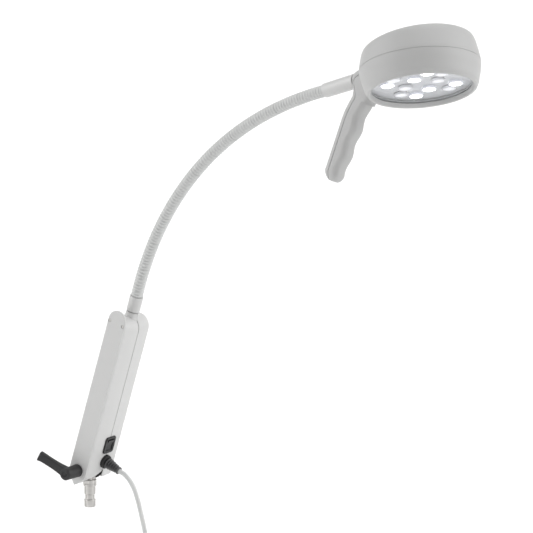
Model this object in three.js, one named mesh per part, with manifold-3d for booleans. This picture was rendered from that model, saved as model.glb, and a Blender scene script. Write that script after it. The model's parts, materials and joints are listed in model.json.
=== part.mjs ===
// Examination lamp on a spigot: clamp and mains casing, flexible neck, LED head with a pistol grip.
// Millimetres, +Z up, front plate towards -Y. The origin is the spigot's shoulder, on the spigot's axis.
import * as THREE from "three";
import { mergeVertices } from "three/addons/utils/BufferGeometryUtils.js";
import Module from "manifold-3d";

const wasm = await Module();
wasm.setup();

// ---- Driving dimensions ----
const gap = 0.3; // between pieces that touch
const wall = 2; // shell thickness of the casing

// spigot and knuckle
const spigotRadius = 8;
const spigotLength = 29.7; // shoulder to tip
const collarRadius = 9.25;
const grooveRadius = 6.7;
const grooveTop = 11.8; // below the shoulder
const grooveWidth = 7;
const pivotHeight = 26.4; // tilt axis above the shoulder
const knuckleRadius = 14.6;
const knuckleWidth = 11.2;
const knuckleCentre = 0; // along the tilt axis
const washerThickness = 2;
const washerRadius = 17;
const studRadius = 4;

// casing, in its own frame: x across, y deep, z along
const casingLean = 17.28; // degrees from upright at rest
const plateHalfWidth = 14.4;
const casingHalfWidth = 17.4; // at the parting plane
const plateY = -27.67;
const rearY = 34.75;
const partingY = 5.6;
const casingTop = 232;
const plateRise = 11.4; // the plate stands above the casing's top
const plateThickness = 3;
const pointDepth = 22.4; // point of the front block below the tilt axis
const rearBlockDepth = 9;
const bossRadius = 8.6;
const bossRise = 6.3;
const casingScrewAcross = 11.4;
const casingScrewDrop = 6.4; // below the casing's top

// neck
const ferruleRadius = 9.25;
const ferruleLength = 22;
const neckRadius = 8.3;
const neckLength = 470.3;
const neckCount = 11;
const ribsPerSegment = 9;
const ribDepth = 0.8;
const coneAngle = 8.4; // of each end, so that two lengths can meet at twice that
const neckStart = 72.18; // degrees above level
const neckEnd = 20.64;
const neckSkew = 0.22;
const upperFerruleRadius = 10;
const upperFerruleLength = 53.4;

// head, in its own frame: x away from the neck, z up through the crown
const headRoll = -20.22; // degrees, about the neck's end
const headPitch = -1.55;
const headAhead = 119.76; // centre of the lip past the end of the neck's line
const headBelow = 43.14;
const neckLineEnd = 44; // end of that line past the last segment
const headRadius = 81.5;
const lipInset = 7.3; // the lip's radius is this much less
const bezelWidth = 6.6;
const seamHeight = 32;
const crownHeight = 69;
const crownRise = 0.19; // crown height gained from back to front
const shellWall = 2.6;
const windowDepth = 3.4;
const windowThickness = 2;
const lensInset = 28.2; // the outer circle of lenses lies this far inside the lip
const innerShare = 12 / 23; // of the outer circle's radius
const lensShare = 5 / 23;

// handle, in the head's frame
const blockRearX = -110;
const blockBottom = 24;
const blockTop = 50;
const gripThickness = 24;
const gripLean = 32;
const gripLength = 116;
const gripDepth = 25.2;
const gripTaper = 0.04;
const fingerPitch = 36;
const fingerDepth = 3.2;
const coverDepth = 10;
const gripRound = 6;

// lever
const hubRadius = 9;
const hubLength = 30;
const leverReach = 46;
const leverAngle = 29.5; // degrees above level, to the left
const leverRise = 12;
const leverHeadWidth = 13;

// switch, boot and cord
const switchHeight = 41;
const switchWide = 21.8;
const switchTall = 24.9;
const switchCentreY = 6;
const rockerTilt = 8;
const glandHeight = 15.5;
const glandRadius = 9.8;
const glandThickness = 5;
const bootDroop = 7;
const bootLength = 20.5;
const bootBase = 7;
const bootTip = 4.6;
const bootRibs = 6;
const cordRadius = 3.2;
const coilRadius = 36;
const coilAcross = 10.2; // half the bundle, outwards
const coilDeep = 13.2; // half the bundle, along the coil's axis
const plugRadius = 18;
const plugLength = 32;
const pinLength = 19;

const rad = THREE.MathUtils.degToRad;
const plateTop = casingTop + plateRise;
const bossTop = casingTop + bossRise;
const casingScrewHeight = casingTop - casingScrewDrop;
const lipRadius = headRadius - lipInset;
const windowOpening = lipRadius - bezelWidth;
const outerCircle = lipRadius - lensInset;
const innerCircle = innerShare * outerCircle;
const lensRadius = lensShare * outerCircle;

// ---- Solids ----
// A closed solid with its faces turned outwards.
function solid(geometry) {
  const plain = geometry.index ? geometry.toNonIndexed() : geometry.clone();
  plain.deleteAttribute("normal");
  plain.deleteAttribute("uv");
  const merged = mergeVertices(plain, 1e-4);
  const positions = merged.attributes.position.array;
  const corners = new Uint32Array(merged.index.array);
  const a = new THREE.Vector3();
  const b = new THREE.Vector3();
  const c = new THREE.Vector3();
  let volume = 0;
  for (let i = 0; i < corners.length; i += 3) {
    a.fromArray(positions, 3 * corners[i]);
    b.fromArray(positions, 3 * corners[i + 1]);
    c.fromArray(positions, 3 * corners[i + 2]);
    volume += a.dot(b.cross(c));
  }
  if (volume < 0)
    for (let i = 0; i < corners.length; i += 3)
      [corners[i + 1], corners[i + 2]] = [corners[i + 2], corners[i + 1]];
  return new wasm.Manifold(
    new wasm.Mesh({ numProp: 3, vertProperties: positions, triVerts: corners }),
  );
}

function geometryOf(body) {
  const mesh = body.getMesh();
  const positions = new Float32Array(mesh.numVert * 3);
  for (let i = 0; i < mesh.numVert; i++)
    for (let k = 0; k < 3; k++)
      positions[3 * i + k] = mesh.vertProperties[mesh.numProp * i + k];
  const geometry = new THREE.BufferGeometry();
  geometry.setAttribute("position", new THREE.BufferAttribute(positions, 3));
  geometry.setIndex(new THREE.BufferAttribute(new Uint32Array(mesh.triVerts), 1));
  geometry.computeVertexNormals();
  return geometry;
}

// A turned solid about z from [radius, height] pairs.
function turned(pairs, segments = 24) {
  const points = pairs.map(([r, z]) => new THREE.Vector2(r, z));
  const lathe = new THREE.LatheGeometry(points, segments);
  lathe.rotateX(Math.PI / 2);
  return solid(lathe);
}

function turnedRing(pairs, segments = 24) {
  return turned([...pairs, pairs[0]], segments);
}

function cylinder(radius, low, high, segments = 24) {
  return turned([[0, low], [radius, low], [radius, high], [0, high]], segments);
}

// An outline of [a, b] pairs pulled along the third axis.
// "x" takes (y, z), "y" takes (x, z) and "z" takes (x, y).
const towards = {
  x: new THREE.Matrix4().set(0, 0, 1, 0, 1, 0, 0, 0, 0, 1, 0, 0, 0, 0, 0, 1),
  y: new THREE.Matrix4().set(1, 0, 0, 0, 0, 0, 1, 0, 0, 1, 0, 0, 0, 0, 0, 1),
  z: new THREE.Matrix4(),
};
function pulled(pairs, axis, low, high, round = 0) {
  const shape = new THREE.Shape(pairs.map(([a, b]) => new THREE.Vector2(a, b)));
  const depth = high - low - 2 * round;
  const geometry = new THREE.ExtrudeGeometry(shape, {
    depth,
    curveSegments: 12,
    bevelEnabled: round > 0,
    bevelThickness: round,
    bevelSize: round,
    bevelOffset: -round,
    bevelSegments: 2,
  });
  geometry.translate(0, 0, low + round);
  geometry.applyMatrix4(towards[axis]);
  return solid(geometry);
}

function box(x0, x1, y0, y1, z0, z1) {
  const geometry = new THREE.BoxGeometry(x1 - x0, y1 - y0, z1 - z0);
  geometry.translate((x0 + x1) / 2, (y0 + y1) / 2, (z0 + z1) / 2);
  return solid(geometry);
}

function arc(x, y, radius, from, to, steps) {
  return Array.from({ length: steps + 1 }, (_, i) => {
    const t = rad(from + ((to - from) * i) / steps);
    return [x + radius * Math.cos(t), y + radius * Math.sin(t)];
  });
}

function roundedRectangle(halfA, halfB, radius, a = 0, b = 0) {
  return [
    ...arc(a + halfA - radius, b + halfB - radius, radius, 0, 90, 3),
    ...arc(a - halfA + radius, b + halfB - radius, radius, 90, 180, 3),
    ...arc(a - halfA + radius, b - halfB + radius, radius, 180, 270, 3),
    ...arc(a + halfA - radius, b - halfB + radius, radius, 270, 360, 3),
  ];
}

// The solid turned so that its z axis lies along x or y.
const alongX = (body) => body.rotate([0, 90, 0]);
const alongY = (body) => body.rotate([-90, 0, 0]);

const lamp = new THREE.Group();
lamp.name = "examination_lamp";

function add(parent, name, body, colour, metalness = 0, roughness = 0.5) {
  const material = new THREE.MeshStandardMaterial({ color: colour, metalness, roughness });
  material.name = name;
  const mesh = new THREE.Mesh(geometryOf(body), material);
  mesh.name = name;
  parent.add(mesh);
  return mesh;
}

const paleGrey = 0xd4d4d2;
const neckGrey = 0xbdbebd;
const black = 0x1e1e1f;
const steel = 0xb9b6b0;

// ---- Spigot and clamp ----
const pivot = new THREE.Group();
pivot.position.z = pivotHeight;
lamp.add(pivot);

const knuckleFront = knuckleCentre - knuckleWidth / 2;
const knuckleRear = knuckleCentre + knuckleWidth / 2;
const neckOfKnuckle = 6.5;
const collarHeight = 3.4;
const flatCollarHeight = 9.1; // where its sides are cut flat
const knuckleEdge = 2;
const knuckle = alongY(
  turned(
    [
      [0, knuckleFront],
      [knuckleRadius - knuckleEdge, knuckleFront],
      [knuckleRadius, knuckleFront + knuckleEdge],
      [knuckleRadius, knuckleRear - knuckleEdge],
      [knuckleRadius - knuckleEdge, knuckleRear],
      [0, knuckleRear],
    ],
    32,
  ),
);
const spigotPost = turned([
  [0, -spigotLength],
  [spigotRadius - 1, -spigotLength],
  [spigotRadius, -spigotLength + 1],
  [spigotRadius, -grooveTop - grooveWidth],
  [grooveRadius, -grooveTop - grooveWidth],
  [grooveRadius, -grooveTop],
  [spigotRadius, -grooveTop],
  [spigotRadius, 0],
  [collarRadius, 0],
  [collarRadius, collarHeight],
  [neckOfKnuckle, collarHeight],
  [neckOfKnuckle, collarHeight + 0.2],
  [0, collarHeight + 0.2],
]);
const slotHalf = knuckleWidth / 2 + washerThickness + 2 * gap;
const flatCollar = cylinder(collarRadius, 0.5, flatCollarHeight, 32).intersect(
  box(-collarRadius, collarRadius, -slotHalf + gap, slotHalf - gap, 0, flatCollarHeight + 1),
);
const knuckleStem = box(
  -neckOfKnuckle,
  neckOfKnuckle,
  knuckleFront + 0.2,
  knuckleRear - 0.2,
  1,
  pivotHeight - knuckleRadius / 2,
);
const studBore = (low, high, radius = studRadius + gap) => alongY(cylinder(radius, low, high, 20));
add(
  lamp,
  "spigot",
  spigotPost
    .add(flatCollar)
    .add(knuckleStem)
    .add(knuckle.translate([0, 0, pivotHeight]))
    .subtract(studBore(-40, 40).translate([0, 0, pivotHeight])),
  steel,
  0.9,
  0.3,
);

const slotFront = knuckleCentre - slotHalf;
const slotRear = knuckleCentre + slotHalf;

const casing = new THREE.Group();
casing.rotation.y = rad(casingLean);
pivot.add(casing);

function washer(radius, front) {
  const bore = studRadius + gap;
  return alongY(
    turnedRing(
      [
        [bore, front],
        [radius, front],
        [radius, front + washerThickness],
        [bore, front + washerThickness],
      ],
      28,
    ),
  );
}
add(casing, "front_washer", washer(knuckleRadius - 1.6, slotFront + gap), black, 0, 0.7);
add(casing, "rear_washer", washer(washerRadius, knuckleRear + gap), black, 0, 0.7);

// ---- Casing shells ----
const bulge = [
  [plateHalfWidth, plateY],
  [plateHalfWidth + 1.75, -10],
  [casingHalfWidth, partingY],
  [plateHalfWidth + 1.4, rearY - 8],
  [plateHalfWidth - 0.6, rearY - 0.8],
  [plateHalfWidth - 2, rearY],
];
const mirrored = (pairs) => [...pairs, ...pairs.toReversed().map(([a, b]) => [-a, b])];
const acrossOutline = mirrored(bulge);
const faceOutline = [
  [-casingHalfWidth, -pointDepth + casingHalfWidth],
  [0, -pointDepth],
  [casingHalfWidth, -pointDepth + casingHalfWidth],
  ...arc(0, casingTop - casingHalfWidth, casingHalfWidth, 0, 180, 18),
];
const topRound = 9;
const sideOutline = [
  [plateY - 1, -pointDepth - 1],
  [slotFront, -pointDepth - 1],
  [slotFront, -6],
  [slotRear, 2.2],
  [slotRear, -rearBlockDepth],
  [rearY + 1, -rearBlockDepth],
  [rearY + 1, 100],
  ...arc(rearY - topRound, casingTop - topRound - 1.5, topRound, 0, 80, 6),
  [plateY - 1, casingTop + 0.5],
];
const plateOutline = [
  [-plateHalfWidth, casingTop - 40],
  [plateHalfWidth, casingTop - 40],
  ...arc(0, plateTop - plateHalfWidth, plateHalfWidth, 0, 180, 18),
];
const boss = turned(
  [
    [0, casingTop - 22],
    [13, casingTop - 22],
    [13, casingTop - 7],
    [11.2, casingTop - 2.6],
    [9.6, casingTop + 0.6],
    [bossRadius, casingTop + 4],
    [bossRadius, bossTop],
    [0, bossTop],
  ],
  28,
).translate([0, partingY, 0]);
const casingSolid = pulled(acrossOutline, "z", -pointDepth - 2, casingTop + 1)
  .intersect(pulled(faceOutline, "y", plateY - 1, rearY + 1))
  .intersect(pulled(sideOutline, "x", -casingHalfWidth - 1, casingHalfWidth + 1))
  .add(pulled(plateOutline, "y", plateY, plateY + plateThickness))
  .add(boss);

const cavityLow = washerRadius + 5;
const cavityHigh = casingTop - 22;
const inward = (pairs) =>
  pairs.map(([a, b]) => [a - wall, b === plateY ? b + wall + 1 : Math.min(b, rearY - wall)]);
const cavity = pulled(mirrored(inward(bulge.slice(0, 4))), "z", cavityLow, cavityHigh);
const stemRadius = 6;
const stemLow = cavityHigh + 4;
const neckBore = cylinder(stemRadius + gap, cavityHigh - 1, bossTop + 1, 20).translate([0, partingY, 0]);
const knuckleRoom = alongY(cylinder(knuckleRadius + 0.4, slotFront, partingY, 36));
const washerRoom = alongY(cylinder(washerRadius + gap, partingY - 0.2, slotRear, 36));
const slotWide = knuckleRadius + 0.4;
const slotBelow = box(
  -casingHalfWidth,
  casingHalfWidth,
  slotFront,
  slotRear,
  -pointDepth - 2,
  -knuckleRadius + 1,
).add(box(-slotWide, slotWide, slotFront, slotRear, -pointDepth - 1, 0));
const stubRadius = 6;
const stubLength = 2.6;
const glandHole = alongX(
  cylinder(stubRadius + gap, casingHalfWidth - 5, casingHalfWidth + 2, 20),
).translate([
  0,
  switchCentreY,
  glandHeight,
]);
const switchBodyWide = switchWide / 2 - 1.6;
const switchBodyTall = switchTall / 2 - 1.6;
const switchDepth = 12;
const switchHole = box(
  casingHalfWidth - switchDepth - 2,
  casingHalfWidth + 2,
  switchCentreY - switchBodyWide - gap,
  switchCentreY + switchBodyWide + gap,
  switchHeight - switchBodyTall - gap,
  switchHeight + switchBodyTall + gap,
);
const nutDepth = 7;
const nutAcross = 7.5;
const nutHole = alongY(cylinder(nutAcross + gap, rearY - nutDepth - 1, rearY + 1, 6));

let shells = casingSolid
  .subtract(cavity)
  .subtract(neckBore)
  .subtract(knuckleRoom)
  .subtract(washerRoom)
  .subtract(slotBelow)
  .subtract(studBore(plateY - 1, rearY + 1))
  .subtract(glandHole)
  .subtract(switchHole)
  .subtract(nutHole);
const screwHeadRadius = 2;
const screwRadius = 1;
const screwHeadDepth = 1.6;
const screwLength = 9;
for (const side of [-1, 1]) {
  const at = [side * casingScrewAcross, 0, casingScrewHeight];
  shells = shells
    .subtract(
      alongY(cylinder(screwHeadRadius + gap, plateY - 1, plateY + 0.8 + screwHeadDepth, 16)).translate(at),
    )
    .subtract(alongY(cylinder(screwRadius + gap, plateY, plateY + screwLength + 2, 12)).translate(at));
  const screw = turned(
    [
      [0, plateY + 0.8 - gap],
      [screwHeadRadius, plateY + 0.8 - gap],
      [screwHeadRadius, plateY + 0.8 + screwHeadDepth - gap],
      [screwRadius, plateY + 0.8 + screwHeadDepth - gap],
      [screwRadius, plateY + screwLength],
      [0, plateY + screwLength],
    ],
    12,
  );
  const name = side < 0 ? "case_screw_left" : "case_screw_right";
  add(casing, name, alongY(screw).translate(at), steel, 0.8, 0.4);
}
const far = 400;
add(casing, "front_shell", shells.intersect(box(-far, far, -far, partingY - gap / 2, -far, far)), paleGrey);
add(casing, "rear_shell", shells.intersect(box(-far, far, partingY + gap / 2, far, -far, far)), paleGrey);

// ---- Clamp stud, nut and lever ----
const studFront = plateY - 12;
const studRear = rearY - 2;
add(casing, "clamp_stud", alongY(cylinder(studRadius, studFront, studRear, 20)), steel, 0.9, 0.35);
add(
  casing,
  "clamp_nut",
  alongY(cylinder(nutAcross, rearY - nutDepth - 0.6, rearY - 1, 6)).subtract(studBore(0, rearY + 2)),
  steel,
  0.9,
  0.4,
);

const hubFace = plateY - gap;
const hubEnd = plateY - hubLength;
const insertEnd = plateY - 17;
const insertRadius = 6.4;
const ledge = insertEnd - 1 - gap;
add(
  casing,
  "lever_insert",
  alongY(cylinder(insertRadius, insertEnd, hubFace, 12))
    .subtract(studBore(studFront - gap, 0))
    .subtract(studBore(insertEnd - 1, studFront, 1.5 + gap)),
  steel,
  0.9,
  0.4,
);
const leverScrewHead = hubEnd + 1.6;
add(
  casing,
  "lever_screw",
  alongY(
    turned(
      [
        [0, leverScrewHead],
        [3.4, leverScrewHead],
        [3.4, leverScrewHead + 2.4],
        [1.5, leverScrewHead + 2.4],
        [1.5, studFront - gap],
        [0, studFront - gap],
      ],
      16,
    ),
  ),
  steel,
  0.9,
  0.4,
);

const leverInCasing = 180 - leverAngle + casingLean;
const leverDirection = [Math.cos(rad(leverInCasing)), Math.sin(rad(leverInCasing))];
// The arm in its own plane: distance from the axis, and distance out from the plate.
const armRoot = -hubLength + 2;
const armOutline = [
  [0, armRoot + 13],
  [leverReach * 0.3, armRoot + 10.2],
  [leverReach * 0.85, armRoot + 10 - leverRise],
  [leverReach - 1, armRoot + 8 - leverRise],
  [leverReach, armRoot + 6 - leverRise],
  [leverReach - 0.6, armRoot - 2 - leverRise],
  [leverReach - 3, armRoot - 2.4 - leverRise],
  [leverReach - 7, armRoot - leverRise + 1],
  [leverReach * 0.45, armRoot - leverRise * 0.4],
  [leverReach * 0.15, armRoot - 2],
  [0, armRoot - 2],
];
const arm = pulled(armOutline, "z", -leverHeadWidth / 2, leverHeadWidth / 2, 1.5)
  .intersect(
    pulled(
      [
        [0, -7],
        [leverReach * 0.4, -5.2],
        [leverReach + 1, -6.5],
        [leverReach + 1, 6.5],
        [leverReach * 0.4, 5.2],
        [0, 7],
      ],
      "y",
      -hubLength * 2,
      hubLength,
    ),
  )
  .rotate([0, -leverInCasing, 0])
  .translate([0, plateY, 0]);
const hub = alongY(
  turned(
    [
      [0, hubEnd],
      [hubRadius - 2, hubEnd],
      [hubRadius, hubEnd + 2],
      [hubRadius, hubFace],
      [0, hubFace],
    ],
    24,
  ),
);
add(
  casing,
  "lever",
  hub
    .add(arm)
    .subtract(alongY(cylinder(insertRadius + gap, ledge, 0, 20)))
    .subtract(studBore(hubEnd - 1, ledge + 1, 1.5 + gap))
    .subtract(alongY(cylinder(3.4 + gap, hubEnd - 20, leverScrewHead + 7, 20))),
  0x39393a,
  0,
  0.55,
);

// ---- Driver inside the casing ----
const boardY = -12;
const boardHalf = 13;
add(casing, "driver_board", box(-boardHalf, boardHalf, boardY, boardY + 1.6, 70, 195), 0x2e6b3f, 0, 0.6);
add(casing, "driver_transformer", box(-10, 10, boardY + 1.9, boardY + 20, 92, 122), 0x3a3a3c, 0, 0.6);
add(
  casing,
  "driver_capacitor",
  cylinder(6, 142, 166, 20).translate([0, boardY + 1.9 + 6, 0]),
  0x26324a,
  0.1,
  0.5,
);

// ---- Switch ----
const switchFace = casingHalfWidth + gap;
const rimRaise = 1.5;
const rockerPocketWide = switchWide / 2 - 4.2;
const rockerPocketTall = switchTall / 2 - 3.4;
const rockerHalfTall = rockerPocketTall - 0.95;
const flange = pulled(
  roundedRectangle(switchWide / 2, switchTall / 2, 4, switchCentreY, switchHeight),
  "x",
  switchFace,
  switchFace + rimRaise,
);
add(
  casing,
  "switch_housing",
  flange
    .add(
      box(
        switchFace - switchDepth,
        switchFace + 0.1,
        switchCentreY - switchBodyWide,
        switchCentreY + switchBodyWide,
        switchHeight - switchBodyTall,
        switchHeight + switchBodyTall,
      ),
    )
    .subtract(
      box(
        switchFace - 8,
        switchFace + rimRaise + 1,
        switchCentreY - rockerPocketWide,
        switchCentreY + rockerPocketWide,
        switchHeight - rockerPocketTall,
        switchHeight + rockerPocketTall,
      ),
    ),
  black,
  0,
  0.5,
);
const rocker = pulled(
  [
    [-3.4, -2],
    [0.4, -rockerHalfTall],
    [2.9, -rockerHalfTall],
    [2, 0],
    [2.9, rockerHalfTall],
    [0.4, rockerHalfTall],
    [-3.4, 2],
  ],
  "y",
  -rockerPocketWide + gap,
  rockerPocketWide - gap,
);
add(
  casing,
  "switch_rocker",
  rocker.rotate([0, rockerTilt, 0]).translate([switchFace - 1.4, switchCentreY, switchHeight]),
  0x2a2a2b,
  0,
  0.45,
);

// ---- Gland, boot, cord, coil and plug ----
const glandFace = casingHalfWidth + gap + glandThickness;
add(
  casing,
  "cord_gland",
  alongX(
    turned([
      [0, casingHalfWidth - stubLength],
      [stubRadius, casingHalfWidth - stubLength],
      [stubRadius, casingHalfWidth + gap],
      [glandRadius, casingHalfWidth + gap],
      [glandRadius, glandFace - 1.5],
      [glandRadius - 1.5, glandFace],
      [0, glandFace],
    ]),
  ).translate([0, switchCentreY, glandHeight]),
  black,
  0,
  0.6,
);
const bootStart = 1.3;
const bootProfile = [
  [cordRadius + gap, bootStart + 1.6],
  [cordRadius + gap, bootStart],
  [bootBase, bootStart],
];
for (let i = 0; i < bootRibs; i++) {
  const z = bootStart + 2 + ((bootLength - 6) * (i + 0.5)) / bootRibs;
  const r = bootBase + ((bootTip - bootBase) * (z - bootStart)) / bootLength;
  const half = ((bootLength - 6) / bootRibs) * 0.3;
  bootProfile.push([r, z - half], [r, z + half * 0.6], [r - 1, z + half], [r - 1, z + half * 2]);
}
bootProfile.push(
  [bootTip, bootStart + bootLength - 3],
  [bootTip + 0.3, bootStart + bootLength],
  [cordRadius + gap, bootStart + bootLength],
);
const bootMount = new THREE.Group();
bootMount.position.set(glandFace, switchCentreY, glandHeight);
bootMount.rotation.y = rad(bootDroop);
casing.add(bootMount);
add(bootMount, "cord_boot", alongX(turnedRing(bootProfile, 14)), black, 0, 0.6);

// The cord hangs in the lamp's own frame, level with the gland.
lamp.updateMatrixWorld(true);
const toWorld = (object, x, y, z) => new THREE.Vector3(x, y, z).applyMatrix4(object.matrixWorld);
const cordStart = toWorld(bootMount, bootStart + 0.6, 0, 0);
const cordExit = toWorld(bootMount, bootStart + bootLength, 0, 0);
const cordFall = 93.5; // how far out the cord hangs
const coilCentre = new THREE.Vector3(cordFall + coilRadius, switchCentreY, pivotHeight - 148.5);
const coilOuter = coilRadius + coilAcross;
const coilMeets = (offset) => Math.sqrt(coilOuter ** 2 - offset ** 2);
const cordEndZ = coilCentre.z + coilMeets(coilRadius - cordRadius) + gap;
const cordPath = new THREE.CatmullRomCurve3(
  [
    cordStart,
    cordStart.clone().lerp(cordExit, 0.5),
    cordExit,
    new THREE.Vector3(57, switchCentreY, pivotHeight - 5.6),
    new THREE.Vector3(69.6, switchCentreY, pivotHeight - 19),
    new THREE.Vector3(77.2, switchCentreY, pivotHeight - 36),
    new THREE.Vector3(83.8, switchCentreY, pivotHeight - 57.7),
    new THREE.Vector3(89.6, switchCentreY, pivotHeight - 79.5),
    new THREE.Vector3(cordFall - 0.5, switchCentreY, pivotHeight - 99),
    new THREE.Vector3(cordFall, switchCentreY, cordEndZ),
  ],
  false,
  "centripetal",
);
function tube(path, radius, steps, sides = 10) {
  const points = arc(0, 0, radius, 0, 360 - 360 / sides, sides - 1);
  const ring = new THREE.Shape(points.map(([a, b]) => new THREE.Vector2(a, b)));
  return solid(new THREE.ExtrudeGeometry(ring, { steps, extrudePath: path, bevelEnabled: false }));
}
const cordMount = new THREE.Group();
lamp.add(cordMount);
add(cordMount, "mains_cord", tube(cordPath, cordRadius, 16), 0xc4c5c4, 0, 0.5);

const coilSection = roundedRectangle(coilAcross, coilDeep, 5, coilRadius, 0);
const standCoil = (body) => alongY(body).translate(coilCentre.toArray());
add(cordMount, "cord_coil", standCoil(turnedRing(coilSection, 28)), 0xc4c5c4, 0, 0.5);

const tieWidth = 8;
const tieThickness = 1.2;
const tieRoom = 0.9;
const tieWall = tieRoom + tieThickness;
const tieOuter = roundedRectangle(coilAcross + tieWall, coilDeep + tieWall, 4);
const tieInner = roundedRectangle(coilAcross + tieRoom, coilDeep + tieRoom, 3);
add(
  cordMount,
  "coil_tie",
  pulled(tieOuter, "z", -tieWidth / 2, tieWidth / 2)
    .subtract(pulled(tieInner, "z", -tieWidth, tieWidth))
    .rotate([0, 90, 0])
    .translate([coilCentre.x, coilCentre.y, coilCentre.z + coilRadius]),
  0x3d3d40,
  0,
  0.8,
);

const leadOffset = coilRadius + 2 * cordRadius;
const leadX = coilCentre.x - leadOffset;
const leadTop = coilCentre.z - coilMeets(leadOffset - cordRadius) - gap;
const tailRadius = 4.8;
const tailTop = Math.min(leadTop - 3, coilCentre.z - coilMeets(leadOffset - tailRadius) - gap);
add(
  cordMount,
  "plug_lead",
  cylinder(cordRadius, tailTop + gap, leadTop, 10).translate([leadX, switchCentreY, 0]),
  0xc4c5c4,
  0,
  0.5,
);
const plugTop = coilCentre.z - coilOuter - 2;
const plugFace = plugTop - plugLength;
let plug = turned(
  [
    [0, plugFace],
    [plugRadius - 1, plugFace],
    [plugRadius, plugFace + 1],
    [plugRadius, plugFace + plugLength * 0.4],
    [plugRadius * 0.72, plugFace + plugLength * 0.62],
    [plugRadius * 0.6, plugTop - 2],
    [tailRadius, plugTop],
    [tailRadius, tailTop],
    [0, tailTop],
  ],
  28,
);
const pinSpacing = 19;
const pinRadius = 2.4;
for (const side of [-1, 1])
  plug = plug
    .add(
      turned([
        [0, plugFace - pinLength],
        [pinRadius - 0.8, plugFace - pinLength],
        [pinRadius, plugFace - pinLength + 0.8],
        [pinRadius, plugFace + 1],
        [0, plugFace + 1],
      ], 12).translate([(side * pinSpacing) / 2, 0, 0]),
    )
    .subtract(box(-4, 4, side * plugRadius - 2.5, side * plugRadius + 2.5, plugFace - 1, plugFace + 16));
add(cordMount, "mains_plug", plug.translate([leadX, switchCentreY, 0]), 0xb9bab9, 0, 0.5);

// ---- Neck ----
const ferruleLow = bossTop + 1;
add(
  casing,
  "lower_ferrule",
  turned(
    [
      [0, stemLow],
      [stemRadius, stemLow],
      [stemRadius, ferruleLow],
      [ferruleRadius, ferruleLow],
      [ferruleRadius, ferruleLow + ferruleLength - gap],
      [0, ferruleLow + ferruleLength - gap],
    ],
    24,
  ).translate([0, partingY, 0]),
  paleGrey,
  0.2,
  0.45,
);

// One ribbed length of the neck: coned ends leave room to bend.
const segmentLength = neckLength / neckCount;
const coneSetback = (neckRadius - ribDepth) * Math.tan(rad(coneAngle));
function neckSegment() {
  const pitch = segmentLength / ribsPerSegment;
  const profile = [[0, gap / 2], [neckRadius - ribDepth, gap / 2 + coneSetback]];
  for (let i = 0; i < ribsPerSegment; i++) {
    if (i > 0) profile.push([neckRadius - ribDepth, i * pitch]);
    profile.push([neckRadius, (i + 0.5) * pitch]);
  }
  profile.push(
    [neckRadius - ribDepth, segmentLength - gap / 2 - coneSetback],
    [0, segmentLength - gap / 2],
  );
  return turned(profile, 14);
}
const neckAngle = (i) => {
  const q = i / (neckCount - 1);
  return neckStart + (neckEnd - neckStart) * (q + neckSkew * q * q * (1 - q));
};
const neckPoint = toWorld(casing, 0, partingY, ferruleLow + ferruleLength);
function alongNeck(angle, at) {
  const group = new THREE.Group();
  group.position.copy(at);
  group.rotation.y = rad(90 - angle);
  lamp.add(group);
  return group;
}
const step = (angle, length) =>
  new THREE.Vector3(Math.cos(rad(angle)) * length, 0, Math.sin(rad(angle)) * length);
for (let i = 0; i < neckCount; i++) {
  const link = alongNeck(neckAngle(i), neckPoint);
  add(link, `neck_segment_${String(i + 1).padStart(2, "0")}`, neckSegment(), neckGrey, 0.1, 0.5);
  neckPoint.add(step(neckAngle(i), segmentLength));
}
const swivelRadius = 5;
const swivelLength = 12;
const lastLink = alongNeck(neckEnd, neckPoint);
add(
  lastLink,
  "upper_ferrule",
  turned(
    [
      [0, gap],
      [upperFerruleRadius - 0.2, gap],
      [upperFerruleRadius + 0.2, upperFerruleLength],
      [swivelRadius, upperFerruleLength],
      [swivelRadius, upperFerruleLength + swivelLength],
      [0, upperFerruleLength + swivelLength],
    ],
    28,
  ),
  paleGrey,
  0.2,
  0.45,
);

// ---- Head ----
const neckFrame = new THREE.Group();
neckFrame.position.copy(neckPoint).add(step(neckEnd, neckLineEnd));
neckFrame.rotation.y = -rad(neckEnd);
lamp.add(neckFrame);
const headTurn = new THREE.Group();
headTurn.rotation.x = rad(headRoll);
neckFrame.add(headTurn);
const headTip = new THREE.Group();
headTip.rotation.y = rad(headPitch);
headTurn.add(headTip);
const head = new THREE.Group();
head.position.set(headAhead, 0, -headBelow);
headTip.add(head);

const headOuter = [
  [lipRadius - 2.7, -2.5],
  [lipRadius, 0],
  [lipRadius + 2, 4],
  [lipRadius + 4, 12],
  [headRadius - 0.8, 22],
  [headRadius, seamHeight],
  [headRadius - 1.8, 42],
  [headRadius - 3.4, 50],
  [headRadius - 5.3, 57],
  [headRadius - 8.9, 62],
  [headRadius - 18.7, 66],
  [headRadius - 40, crownHeight - 0.6],
];
// Above the seam the crown leans up towards the front.
const raised = (body) =>
  body.warp((point) => {
    const above = Math.max(point[2] - seamHeight, 0);
    point[2] += (above * crownRise * point[0]) / 80;
  });
const headSegments = 40;
const inset = ([r, z]) => [r - shellWall, Math.min(z, crownHeight - 0.6 - shellWall)];
const upperOuter = headOuter.filter(([, z]) => z > seamHeight);
const lowerOuter = headOuter.filter(([, z]) => z < seamHeight);
const crownInner = [
  [headRadius - shellWall, seamHeight + gap / 2],
  ...upperOuter.slice(0, 3).map(inset),
  [headRadius - 14, 60],
  [headRadius - 26, 63.4],
  [0, crownHeight - shellWall - 0.6],
];
const headStop = Math.max(gap / 2, 0.15);
add(
  head,
  "crown_shell",
  raised(
    turned(
      [
        ...crownInner.toReversed(),
        [headRadius, seamHeight + headStop],
        ...upperOuter,
        [0, crownHeight],
      ],
      headSegments,
    ),
  ),
  paleGrey,
);
const ledgeHeight = windowDepth - gap;
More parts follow.
